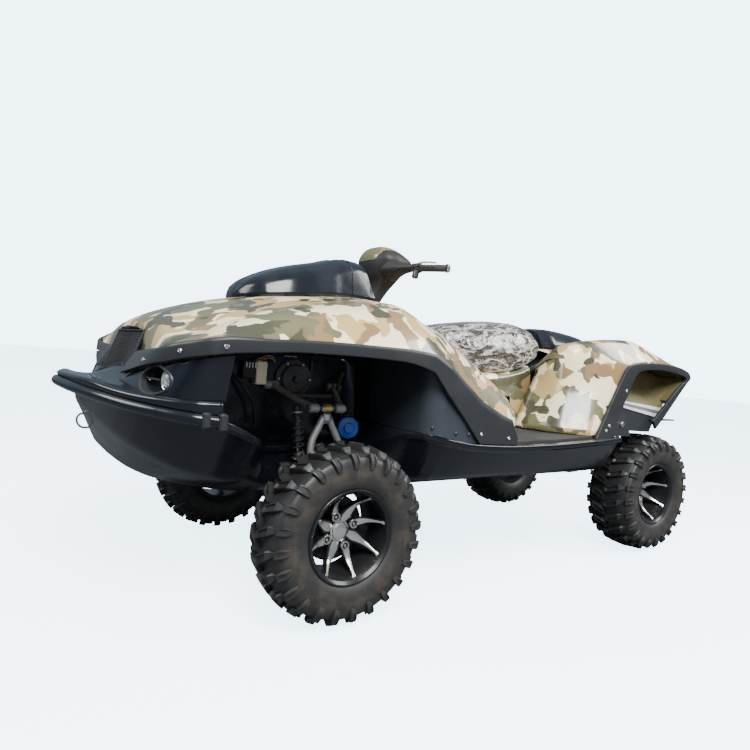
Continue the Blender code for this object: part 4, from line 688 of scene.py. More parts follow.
class Piece:
    """Surfaces gathered into one object, each with its finish."""

    def __init__(self, name):
        self.name = name
        self.points = []
        self.faces = []
        self.count = 0

    def add(self, points, faces, finish):
        """Takes in points and the faces between them."""
        self.points.append(np.asarray(points, float).reshape(-1, 3))
        self.faces.append((np.asarray(faces) + self.count, finish))
        self.count += len(self.points[-1])

    def sheet(self, grid, finish, facing, ring=False, around=False):
        """A grid of points (rows, columns, 3), its faces turned the way given, or out from its middle."""
        grid = np.asarray(grid, float)
        rows, columns = grid.shape[:2]
        i, j = np.meshgrid(np.arange(rows - (not around)), np.arange(columns - (not ring)), indexing="ij")
        i, j = i.ravel(), j.ravel()
        ahead, aside = (i + 1) % rows, (j + 1) % columns
        faces = stacked(i * columns + j, i * columns + aside, ahead * columns + aside, ahead * columns + j)
        flat = grid.reshape(-1, 3)
        corners = flat[faces]
        normal = np.cross(corners[:, 2] - corners[:, 0], corners[:, 3] - corners[:, 1])
        if isinstance(facing, str):
            middle = corners.mean(axis=1)
            flux = ((middle - flat.mean(axis=0)) * normal).sum()
        else:
            flux = (normal @ np.asarray(facing, float)).sum()
        self.add(flat, faces if flux > 0 else faces[:, ::-1], finish)
        return flux > 0

    def body(self, grid, finish, around=False):
        """A closed surface: rings of points, with both ends filled unless the last ring joins the first."""
        grid = np.asarray(grid, float)
        start = self.count
        kept = self.sheet(grid, finish, "out", ring=True, around=around)
        if around:
            return
        rows, columns = grid.shape[:2]
        first = np.arange(columns)
        last = first + (rows - 1) * columns
        if kept:
            first = first[::-1]
        else:
            last = last[::-1]
        self.faces.append((start + first[None], finish))
        self.faces.append((start + last[None], finish))

    def tube(self, path, radius, finish, sides=14):
        """A round tube along a path."""
        self.body(tube_grid(path, radius, sides), finish)

    def rod(self, start, end, radius, finish, sides=24, chamfer=0.0):
        """A round bar, its ends chamfered."""
        start, end = np.asarray(start, float), np.asarray(end, float)
        size = np.linalg.norm(end - start)
        c = min(chamfer, 0.4 * size, 0.6 * radius)
        profile = [(radius, 0.0), (radius, size)]
        if c:
            profile = [(radius - c, 0.0), (radius, c), (radius, size - c), (radius - c, size)]
        self.body(lathe_grid(profile, start, end - start, sides), finish)

    def turned(self, profile, centre, axis, finish, steps=48, closed=False):
        """A lathe form. A closed profile is a ring of (r, h). An open one ends on the axis or is capped."""
        self.body(lathe_grid(profile, centre, axis, steps), finish, around=closed)

    def box(self, centre, size, finish, rim=0.003):
        """A box with chamfered edges."""
        hx, hy, hz = np.asarray(size) / 2
        c = min(rim, 0.4 * min(size) / 2)
        outline = [(hx - c, hy), (-hx + c, hy), (-hx, hy - c), (-hx, -hy + c)]
        outline += [(-x, -y) for x, y in outline]
        inset = [(x * (hx - c) / hx, y * (hy - c) / hy) for x, y in outline]
        loops = ((inset, -hz), (outline, -hz + c), (outline, hz - c), (inset, hz))
        grid = np.array([[(x, y, z) for x, y in loop] for loop, z in loops])
        self.body(grid + np.asarray(centre), finish)

    def repaint(self, chosen, finish):
        """Gives another finish to the faces whose middles are chosen."""
        points = np.concatenate(self.points)
        groups = []
        for faces, before in self.faces:
            picked = chosen(points[faces].mean(axis=1))
            groups += [(faces[~picked], before), (faces[picked], finish)]
        self.faces = [(faces, name) for faces, name in groups if len(faces)]

    def mirrored(self):
        """The right side's piece: y turned about, and each face's corners with it."""
        other = Piece(self.name.replace("left", "right"))
        other.points = [points * np.array((1, -1, 1)) for points in self.points]
        other.faces = [(faces[:, ::-1], finish) for faces, finish in self.faces]
        other.count = self.count
        return other

    def make(self, body=BODY, replaces=(), slot=None, weld=False):
        """The object, on its body of the frame. Weld joins points that lie on each other."""
        points = np.concatenate(self.points)
        sizes = np.concatenate([np.full(len(f), f.shape[1]) for f, _ in self.faces])
        corners = np.concatenate([f.ravel() for f, _ in self.faces])
        names = list(dict.fromkeys(finish for _, finish in self.faces))
        slots = np.concatenate([np.full(len(f), names.index(finish)) for f, finish in self.faces])
        mesh = bpy.data.meshes.new(self.name)
        mesh.vertices.add(len(points))
        mesh.vertices.foreach_set("co", points.astype(np.float32).ravel())
        mesh.loops.add(len(corners))
        mesh.loops.foreach_set("vertex_index", corners.astype(np.int32))
        mesh.polygons.add(len(sizes))
        mesh.polygons.foreach_set("loop_start", np.concatenate([[0], np.cumsum(sizes)[:-1]]).astype(np.int32))
        mesh.polygons.foreach_set("material_index", slots.astype(np.int32))
        mesh.polygons.foreach_set("use_smooth", np.ones(len(sizes), bool))
        mesh.update(calc_edges=True)
        if weld:
            work = bmesh.new()
            work.from_mesh(mesh)
            bmesh.ops.remove_doubles(work, verts=work.verts, dist=1e-5)
            bmesh.ops.dissolve_degenerate(work, edges=work.edges, dist=1e-6)
            work.to_mesh(mesh)
            work.free()
        mesh.set_sharp_from_angle(angle=SHARP)
        for name in names:
            mesh.materials.append(finish_of(name))
        item = shown(self.name, mesh)
        place(item, body, replaces, slot)
        return item


def place(item, body, replaces=(), slot=None):
    """Puts a finished object on its body, in the place of its solids."""
    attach(item, body)
    if replaces:
        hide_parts(*replaces)


def thicken(item, thickness):
    """Gives a skin its thickness, inwards."""
    skin = item.modifiers.new("thickness", "SOLIDIFY")
    skin.thickness = thickness
    skin.offset = -1.0


def shelled(item):
    """Gives a body panel its thickness."""
    thicken(item, SHELL)


def bake(item, cutters=()):
    """The object's mesh with its modifiers, and with the cutters' forms taken away, kept as its own."""
    for tool in cutters:
        hole = item.modifiers.new("hole", "BOOLEAN")
        hole.operation = "DIFFERENCE"
        hole.solver = "EXACT"
        hole.material_mode = "TRANSFER"
        hole.object = tool
    graph = bpy.context.evaluated_depsgraph_get()
    graph.update()
    result = item.evaluated_get(graph)
    mesh = bpy.data.meshes.new_from_object(result, preserve_all_data_layers=True, depsgraph=graph)
    item.modifiers.clear()
    item.data = mesh
    mesh.set_sharp_from_angle(angle=SHARP)
    for tool in cutters:
        bpy.data.objects.remove(tool)


def shown(name, mesh):
    """A new object of that name in the scene."""
    item = bpy.data.objects.new(name, mesh)
    bpy.context.scene.collection.objects.link(item)
    return item


def cutter(grid):
    """A closed form used only to cut a hole."""
    tool = Piece("cutter")
    tool.body(grid, "dark_plastic")
    mesh = bpy.data.meshes.new(tool.name)
    faces = [list(map(int, face)) for part, _ in tool.faces for face in part]
    mesh.from_pydata(np.concatenate(tool.points).tolist(), [], faces)
    mesh.materials.append(finish_of("dark_plastic"))
    return shown(tool.name, mesh)


def box_cutter(low, high):
    """A plain box between two corners, to cut a hole."""
    (x0, y0, z0), (x1, y1, z1) = low, high
    return cutter([[(x0, y0, z), (x1, y0, z), (x1, y1, z), (x0, y1, z)] for z in (z0, z1)])


def both_hands(left, body=BODY, replaces=(), slot=None, after=None):
    """Makes a piece of the left side and its mirror image. Body and solid names end in left or right."""
    for hand in ("left", "right"):
        piece = left if hand == "left" else left.mirrored()
        nodes = [node.replace("left", hand) for node in replaces]
        item = piece.make(body.replace("left", hand), nodes, slot)
        if after:
            after(item)


def rows_of(*columns):
    """Columns of coordinates as points, one line of points a row."""
    return np.stack([np.stack(np.broadcast_arrays(*point), axis=-1) for point in columns], axis=1)


def slab(outline, sides):
    """An outline of (x, z) repeated at each y given."""
    return [[(x, y, z) for x, z in outline] for y in sides]


def between(start, end, share):
    """The point at that share of the way from start to end."""
    return start + (end - start) * share


def stacked(*parts):
    """Arrays set side by side as columns."""
    return np.stack(parts, axis=1)


def circle(count):
    """Angles evenly round a full turn."""
    return np.linspace(0, 2 * pi, count, endpoint=False)


def unit(v):
    """Vectors scaled to length one."""
    v = np.asarray(v, float)
    return v / np.linalg.norm(v, axis=-1, keepdims=True)


def hull_top(x):
    """Height of the hull's deck: its lip's line and the flange."""
    return smooth_read(HULL, np.ravel(x))[:, 4].reshape(np.shape(x)) + FLANGE


def deck_top(x, y):
    """Height of the bow deck: a platform that falls evenly to the side, and a lip at the edge's height."""
    half, edge, platform = (part.reshape(np.shape(x)) for part in smooth_read(BOW_DECK, np.ravel(x)).T)
    side = np.minimum(edge, platform) - 0.004
    inside = np.maximum(half - 0.034, 0.02)
    slope = platform + (side - platform) * np.abs(y) / inside
    return np.where(np.abs(y) > inside, edge, slope)


def hood_fall(t):
    """Share of the crest's height over the shoulder that is lost at the share t of the half width."""
    t = np.abs(t)
    return np.where(t < 0.58, 0.32 * (t / 0.58) ** 1.6, 0.32 + 0.68 * (t - 0.58) / 0.42)


def hood_top(x, y):
    """Height of the hood at x and y."""
    crest, side_y, side_z = (part.reshape(np.shape(x)) for part in smooth_read(HOOD, np.ravel(x)).T)
    return crest - (crest - side_z) * hood_fall(np.clip(y / side_y, -1, 1))


def screw(piece, at, out, radius=0.0085, finish="dark_steel"):
    """A button-head screw with its socket, standing on a face whose outward direction is given."""
    profile = ((0, 25), (0.42, 25), (0.45, 45), (0.75, 42), (1, 20), (1, -20), (0, -20))
    piece.turned([(radius * share, rise * 0.0001) for share, rise in profile], at, out, finish, 24)


def make_hull():
    """Half line from keel over chine and lip to the deck, its corners rounded, read along x and mirrored."""
    x = stations(HULL, 80)
    keel, chine_y, chine_z, lip_y, lip_z = smooth_read(HULL, x).T
    top = lip_z + FLANGE
    half = rows_of(
        (x, 0.0, keel),
        (x, chine_y, chine_z),
        (x, lip_y - 0.02, lip_z - 0.004),
        (x, lip_y, lip_z),
        (x, lip_y, top),
        (x, lip_y * 0.9, top),
        (x, 0.0, top),
    )
    hull = Piece("hull_shell")
    ring = rounded(half, (0, 0.03, 0.012, 0.006, 0.006, 0.004, 0))
    hull.body(whole_ring(filled(ring, 1)), "gloss_black")
    item = hull.make(replaces=["hull"], slot="gloss_black")
    bay = box_cutter((-0.56, -0.205, 0.385), (0.18, 0.205, 0.75))
    duct = cutter(lathe_grid([(0.082, 0.0), (0.082, 0.21)], (TRANSOM_X - 0.05, 0, JET_Z), (1, 0, 0)))
    mouth = [(TRANSOM_X + 0.1, JET_Z), (TRANSOM_X + 0.155, JET_Z), (-0.93, 0.28), (-1.1, 0.28)]
    intake = cutter(slab(mouth, (-0.055, 0.055)))
    bake(item, [bay, duct, intake])


def make_bow():
    """Rail round the bow with its clamps, the deck above it, and the eye on the stem."""
    rail = Piece("bow_rail_tube")
    left = np.array(RAIL)
    path = curve(np.concatenate([left, left[-2::-1] * (1, -1, 1)]), 160)
    rail.tube(path, RAIL_R, "gloss_black", 24)
    for side in (1, -1):
        for (x, y, z), tall in ((RAIL[0], 0.052), ((1.262, 0.65, 0.711), 0.048)):
            rail.box((x, y * side, z), (0.026, tall, tall), "satin_black", rim=0.01)
    rail.make(replaces=["bow_rail"], slot="gloss_black")

    deck = Piece("bow_deck_skin")
    edge = np.array(BOW_DECK)[:, :3]
    line = curve(np.concatenate([edge, edge[-2::-1] * (1, -1, 1)]), 141)
    step = np.gradient(line[:, :2], axis=0)
    outward = unit(stacked(-step[:, 1], step[:, 0], 0 * step[:, 0]))
    x, y, z = line.T
    rail_top = np.interp(x, left[:, 0], left[:, 2]) + RAIL_R + 0.001
    lower = line * (1, 1, 0) + rail_top[:, None] * UP
    inner = lower - outward * 0.04
    foot = inner * (1, 1, 0) + hull_top(np.minimum(inner[:, 0], 1.513))[:, None] * UP
    lip = line - outward * 0.006
    root = line - outward * 0.034
    root[:, 2] = deck_top(np.minimum(root[:, 0], 1.57), root[:, 1] * 0.97)
    spine_x = np.minimum(x, 1.48)
    spine = stacked(spine_x, 0 * x, deck_top(spine_x, 0 * x))
    rim = stacked(foot, inner, lower, line + outward * 0.004 - UP * 0.008, lip, root, root)
    ring = rounded(rim, (0, 0.001, 0.003, 0.006, 0.006, 0.01, 0), 4)
    t = np.linspace(0, 1, 9)[None, 1:, None]
    inside = root[:, None] + (spine - root)[:, None] * t
    deck.sheet(np.concatenate([ring[:, :-1], inside], axis=1), "gloss_black", UP)
    y = np.linspace(-0.634, 0.634, 41)
    x = 1.216 + 0 * y
    back = rows_of((x, y, hull_top(x)), (x, y, deck_top(x, y) - 0.001))
    deck.sheet(back, "gloss_black", (-1, 0, 0))
    thicken(deck.make(replaces=["bow_deck"], slot="gloss_black", weld=True), 0.0015)

    eye = Piece("bow_eye_rod")
    stem = [(row[1], row[0]) for row in HULL if row[0] > 1.0]
    low, high = 0.598, 0.648
    low_x, high_x = np.interp((low, high), *zip(*stem))
    bend = [(low_x - 0.004, low), (1.494, low + 0.001), (1.508, low + 0.016)]
    bend += [(1.51, high - 0.014), (1.5, high - 0.001), (high_x - 0.004, high)]
    eye.tube(curve([(x, 0.0, z) for x, z in bend], 40), 0.0042, "bright_steel", 12)
    eye.make(replaces=["bow_eye"], slot="bright_steel")


def make_hood():
    """Hood z = crest - (crest - shoulder) f(t) over y = shoulder t, run on to its edge over the mouth."""
    x = stations(HOOD, 44)
    crest, side_y, side_z = smooth_read(HOOD, x).T
    t = np.linspace(-1, 1, 61)
    fall = hood_fall(t)
    z = crest[:, None] - (crest - side_z)[:, None] * fall
    grid = np.stack([np.broadcast_to(x[:, None], z.shape), side_y[:, None] * t, z], axis=2)
    lip = np.array(HOOD_LIP)
    edge = np.stack([np.interp(np.abs(t), np.linspace(0, 1, 6), lip[:, i]) for i in range(3)], axis=1)
    edge[:, 1] *= np.sign(t)
    s = np.linspace(0, 1, 7)[1:, None, None]
    nose = grid[-1] + (edge - grid[-1]) * s + np.sin(pi * s) * np.array((0.004, 0, 0.004))
    hood = Piece("hood_skin")
    hood.sheet(np.concatenate([grid, nose]), "camouflage", UP)
    item = hood.make(replaces=["hood"], slot="camouflage")
    thicken(item, SHELL)
    column = cutter(lathe_grid([(0.034, 0.0), (0.034, 0.22)], STEER_BASE - STEER_AXIS * 0.12, STEER_AXIS))
    bake(item, [box_cutter((0.5, -0.152, 1.05), (0.83, 0.152, 1.3)), column])

    tray = Piece("bin_tray")
    tray.box((0.665, 0.0, 1.0675), (0.3292, 0.3032, 0.165), "dark_plastic", rim=0.004)
    item = tray.make(replaces=["storage_bin"], slot="dark_plastic")
    bake(item, [box_cutter((0.508, -0.144, 0.991), (0.822, 0.144, 1.3))])


def band_read(along):
    """The band's two edges: straight between the rows of its foot, smooth round the arch and the nose."""
    table = np.array(FRONT_BAND)
    straight = np.stack([np.interp(along, table[:, 0], column) for column in table.T[1:]], axis=1)
    return np.where(np.asarray(along)[:, None] < 0.452, straight, smooth_read(FRONT_BAND, along))


def make_fenders():
    """Fender point(s, t) = shoulder + t (edge - shoulder) + bulge sin(pi t), from the hood to the trim."""
    x, y, z, along = smooth_rows(FENDER, 81).T
    top = stacked(x, y, z)
    edge = band_read(along)[:, 3:6]
    t = np.linspace(0, 1, 17)
    bulge = 0.03 * np.sin(pi * t) * np.minimum(1, (top[:, 2] - edge[:, 2]) / 0.12)[:, None]
    grid = top[:, None] + (edge - top)[:, None] * t[None, :, None]
    grid = grid + bulge[..., None] * np.array((0.0, 0.6, 1.0))
    under = top - np.array((0.0, 0.02, 0.008))
    behind = edge - UP * 0.014
    grid = np.concatenate([under[:, None], grid, behind[:, None]], axis=1)
    grid = np.concatenate([grid, (grid[-1] - UP * 0.014)[None]])
    fender = Piece("fender_skin_left")
    fender.sheet(grid, "camouflage", (0, 1, 1))
    both_hands(fender, replaces=["front_fender_left"], slot="camouflage", after=shelled)

    band = band_read(stations(FRONT_BAND, 150))
    low, high = band[:, :3], band[:, 3:6] + UP * TRIM_LAP
    step = np.gradient(low + high, axis=0)
    out = unit(stacked(-step[:, 1], step[:, 0], 0 * step[:, 0]))
    crest = low + (high - low) * 0.86
    stands = ((low, 0.001), (low, 0.015), (crest, 0.0155), (high, 0.01), (high, 0.001))
    ring = np.stack([line + out * off for line, off in stands], axis=1)
    middle = (ring[:, 0] + ring[:, -1])[:, None] / 2
    ring = rounded(
        np.concatenate([middle, ring, middle], axis=1), (0, 0.0005, 0.005, 0.006, 0.003, 0.0005, 0), 5
    )
    trim = Piece("trim_band_left")
    trim.body(ring[:, :-1], "satin_black")
    for along, share in ((1.6, 0.4), (1.375, 0.5), (1.24, 0.45)):
        here, there = smooth_read(FRONT_BAND, [along - 0.01, along + 0.01])
        spot = here[:3] + (here[3:6] - here[:3]) * share
        way = there[:3] - here[:3]
        face = unit((-way[1], way[0], 0.0))
        screw(trim, spot + face * 0.0155, face, 0.0075, "bright_steel")
    for x, z in ((0.164, 0.668), (0.002, 0.65)):
        y = smooth_read(FRONT_BAND, [x])[0][1]
        screw(trim, (x, y + 0.0155, z), LEFT, 0.0075, "bright_steel")
    both_hands(trim, replaces=["front_trim_left"], slot="satin_black")

    x, y, z = smooth_rows(SIDE_PANEL, 49).T
    way = unit(stacked(np.gradient(x), np.gradient(y)))
    inward = -np.abs(way[:, ::-1]) * 0.012
    foot = hull_top(x) + 0.0012
    panel = Piece("side_wall_left")
    far_x, far_y = x + inward[:, 0], y + inward[:, 1]
    ring = rows_of((x, y, foot), (x, y, z - 0.006), (x, y, z), (far_x, far_y, z), (far_x, far_y, foot))
    panel.body(ring, "well_black")
    for spot in ((0.401, 0.676, 0.69), (0.3, 0.697, 0.672), (0.225, 0.69, 0.667)):
        screw(panel, spot, LEFT, 0.0075)
    both_hands(panel, replaces=["side_panel_left"], slot="gloss_black")


def cheek_lines(count=401):
    """The cheek's outer face: lines of its foot and its top, many along it."""
    low_x, low_y, top_x, top_y, top_z = smooth_rows(CHEEK, count).T
    low = stacked(low_x, low_y, deck_top(low_x, low_y) + 0.0006)
    return low, stacked(top_x, top_y, top_z)


def on_cheek(y, z):
    """x of the cheek's outer face at y and z: the line along it whose point at z lies nearest in y."""
    low, top = cheek_lines()
    share = (np.ravel(z)[:, None] - low[:, 2]) / (top[:, 2] - low[:, 2])
    across = low[:, 1] + (top[:, 1] - low[:, 1]) * share
    best = np.abs(across - np.ravel(y)[:, None]).argmin(axis=1)
    rows = np.arange(len(best))
    x = low[best, 0] + (top[best, 0] - low[best, 0]) * share[rows, best]
    return x.reshape(np.shape(y))


def lamp_ring(grow, lift, count=56):
    """The lamp's oval, grown by some metres and lifted off the cheek's face."""
    turn = circle(count)
    side = unit(np.array((-LAMP_OUT[1], LAMP_OUT[0], 0.0)))
    across = (LAMP_WIDE + grow) * np.cos(turn)
    z = LAMP_AT[2] + (LAMP_TALL + grow) * np.sin(turn)
    y = LAMP_AT[1] + side[1] * across
    return stacked(on_cheek(y, z), y, z) + unit(LAMP_OUT) * lift


def make_cheeks():
    """Walls under the nose, each with an oval lamp in a dark cup behind a rim and a cross bar."""
    low, top = cheek_lines(97)
    way = np.gradient(low, axis=0)
    way[:, 2] = 0
    inward = unit(stacked(-np.abs(way[:, 1]), -np.abs(way[:, 0]), 0 * way[:, 0])) * 0.03
    ring = stacked(low, top - UP * 0.004, top + inward * 0.1, top + inward, low + inward)
    cheek = Piece("cheek_wall_left")
    t = np.linspace(0, 1, 9)[None, :, None]
    face = ring[:, :1] + (ring[:, 1:2] - ring[:, :1]) * t
    cheek.body(np.concatenate([face, ring[:, 2:]], axis=1), "gloss_black")
    out = unit(LAMP_OUT)
    oval = lamp_ring(0.0, 0.0)
    flat = oval - out * ((oval - LAMP_AT) @ out)[:, None]

    def opened(item):
        mirror = np.array((1, -1 if item.name.endswith("right") else 1, 1))
        bake(item, [cutter(np.stack([flat - out * 0.12, flat + out * 0.12]) * mirror)])

    both_hands(cheek, replaces=["cheek_left"], slot="gloss_black", after=opened)
    lamp = Piece("lamp_left")
    rim = [
        lamp_ring(grow, lift)
        for grow, lift in ((-0.004, -0.026), (-0.003, 0.001), (0.0, 0.004), (0.005, 0.004), (0.008, 0.0))
    ]
    lamp.sheet(rim, "satin_black", out, ring=True)
    cup = [
        lamp_ring(grow, lift)
        for grow, lift in ((-0.003, -0.02), (-0.012, -0.034), (-0.03, -0.04), (-0.0425, -0.042))
    ]
    lamp.sheet(cup, "gloss_black", out, ring=True)
    centre = np.array((on_cheek(LAMP_AT[1:2], LAMP_AT[2:])[0], LAMP_AT[1], LAMP_AT[2]))
    side = unit(np.array((-out[1], out[0], 0.0)))
    bulb = centre + side * 0.038 - out * 0.01
    bowl = [(0.0, -0.03), (0.012, -0.028), (0.022, -0.022), (0.027, -0.012), (0.029, -0.011), (0.029, -0.03)]
    lamp.turned(bowl, bulb, out, "rim_silver", 40)
    lens = [(0.0, -0.002), (0.012, -0.003), (0.022, -0.008), (0.027, -0.012), (0.0, -0.013)]
    lamp.turned(lens, bulb, out, "lamp_glass", 40)
    lamp.rod(
        centre - side * 0.082 - out * 0.02, centre + side * 0.006 - out * 0.02, 0.0035, "dark_plastic", 10
    )
    both_hands(lamp)


def make_grille():
    """Honeycomb on a ruled patch: each cell is the ring between its hexagon and that of its hole."""
    grille = Piece("mouth_mesh")
    low_in, top_in = np.array((1.37, 0.0, 0.847)), np.array((1.35, 0.0, 0.966))
    low_out, top_out = np.array((1.402, 0.212, 0.8)), np.array((1.345, 0.207, 0.967))
    wide, tall, pitch = 0.21, 0.142, 0.0098

    def patch(a, b, back):
        u, v = np.clip(a / wide, 0, 1)[..., None], np.clip(b / tall, 0, 1)[..., None]
        low = low_in + (low_out - low_in) * u
        low[..., 2] = deck_top(low[..., 0], low[..., 1]) + 0.002
        high = top_in + (top_out - top_in) * u
        return low + (high - low) * v - np.array((back, 0, 0))

    i, j = np.meshgrid(np.arange(-1, 24), np.arange(-1, 19), indexing="ij")
    centre_a = ((i + 0.5 * (j % 2)) * pitch).ravel()[:, None]
    centre_b = (j * pitch * 0.866).ravel()[:, None]
    turn = radians(30) + np.arange(6) * pi / 3
    layers = []
    for radius, back in ((pitch / 3 ** 0.5, 0.0), (pitch * 0.43, 0.0), (pitch * 0.43, 0.004)):
        layers.append(patch(centre_a + radius * np.cos(turn), centre_b + radius * np.sin(turn), back))
    inside = (centre_a > 0.002) & (centre_a < wide - 0.002) & (centre_b > 0.002) & (centre_b < tall - 0.002)
    cells = np.stack(layers, axis=1)[inside.ravel()]
    count = len(cells)
    base = np.arange(count)[:, None] * 18
    k, n = np.arange(6)[None], (np.arange(6)[None] + 1) % 6
    front = np.stack([base + k, base + n, base + 6 + n, base + 6 + k], axis=2).reshape(-1, 4)
    wall = np.stack([base + 6 + k, base + 6 + n, base + 12 + n, base + 12 + k], axis=2).reshape(-1, 4)
    for side in (1, -1):
        points = cells.reshape(-1, 3) * (1, side, 1)
        faces = np.concatenate([front, wall])
        grille.add(points, faces[:, ::-1] if side < 0 else faces, "dark_plastic")
        # Dark sheet 2 cm behind each panel that stands for the dark mouth behind the honeycomb: painted shade
        a, b = np.meshgrid(np.linspace(0, wide, 12), np.linspace(0, tall, 8), indexing="ij")
        grille.sheet(patch(a, b, 0.02) * (1, side, 1), "dark_plastic", (1, 0, 0))
        edge = [
            patch(np.array(p), np.array(q), 0.0)
            for p, q in ((0, tall), (0, 0), (wide, 0), (wide, tall), (0, tall))
        ]
        for start, end in zip(edge[1:], edge[2:]):
            grille.tube(np.linspace(start, end, 12) * (1, side, 1), 0.004, "satin_black", 10)
    grille.tube(np.linspace(top_in, patch(np.array(0.0), np.array(0.0), 0.0), 8), 0.003, "satin_black", 10)
    grille.make(replaces=["grille"], slot="dark_plastic")


def make_front_lid():
    """Cowl sections from the hood up over side, shoulder and crown, with a spine down the middle."""
    x = np.unique(np.concatenate([stations(FRONT_LID, 40), (0.504, 0.505)]))
    top, half = smooth_read(FRONT_LID, x).T
    step = 0.0025 * (x < 0.5045)
    top, half = top + step, half + 0.016 * np.clip((0.56 - x) / 0.12, 0, 1) + step
    base = [hood_top(x, y) + 0.001 for y in (0 * x, half * 0.5, half)]
    rise = np.maximum(top - base[0], 0.008)
    edge = base[2]
    lines = rows_of(
        (x, 0.0, base[0]),
        (x, half * 0.5, base[1]),
        (x, half, edge),
        (x, half + 0.004, edge + 0.012),
        (x, half * 0.92, edge + 0.012 + rise * (0.6 + 0.14 * np.clip((0.62 - x) / 0.15, 0, 1))),
        (x, half * 0.58, top - 0.007 * np.minimum(rise / 0.05, 1)),
        (x, 0.018, top - 0.004),
        (x, 0.0, top),
    )
    ring = whole_ring(rounded(lines, (0, 0.01, 0.003, 0.006, 0.032, 0.04, 0.006, 0), 7))
    back = np.clip((0.5 - ring[..., 0]) / 0.075, 0, 1)
    ring[..., 0] += back * (0.026 - 0.42 * (1.365 - ring[..., 2]))
    lid = Piece("cowl_skin")
    lid.body(ring, "gloss_black")
    item = lid.make("cowl", ["front_lid"], "gloss_black")
    bake(item, [box_cutter((0.53, -0.12, 1.1), (0.79, 0.12, 1.236))])


def head_spot(forward, left, up):
    """A place on the steering head: forward and up are square to and along its raked axis."""
    axis = unit(STEER_AXIS)
    front = unit(np.cross(LEFT, axis))
    forward, left, up = (np.asarray(part, float)[..., None] for part in (forward, left, up))
    return STEER_BASE + front * forward + LEFT * left + axis * up


# Cover of the steering head: up the axis, forward end, rear end, half width
HEAD = (
    (0.004, 0.04, -0.036, 0.036),
    (0.06, 0.052, -0.044, 0.055),
    (0.11, 0.086, -0.052, 0.096),
    (0.15, 0.108, -0.06, 0.126),
    (0.185, 0.118, -0.074, 0.138),
    (0.215, 0.112, -0.094, 0.13),
    (0.238, 0.09, -0.104, 0.106),
    (0.254, 0.054, -0.092, 0.074),
    (0.262, 0.014, -0.06, 0.035),
)
BAR = ((0.03, 0.08, 0.15), (0.03, 0.18, 0.15), (0.004, 0.27, 0.155), (-0.068, 0.382, 0.184))


def head_ring(up, ahead, behind, half, count=48):
    """Rings of the cover: |s|^p outlines, fuller at the front than at the back."""
    turn = circle(count)
    c, d = np.cos(turn), np.sin(turn)
    middle = (ahead + behind) / 2
    long = (ahead - behind) / 2
    forward = middle[:, None] + long[:, None] * np.sign(c) * np.abs(c) ** 0.75
    left = half[:, None] * np.sign(d) * np.abs(d) ** 0.8
    return head_spot(forward, left, np.broadcast_to(up[:, None], left.shape))


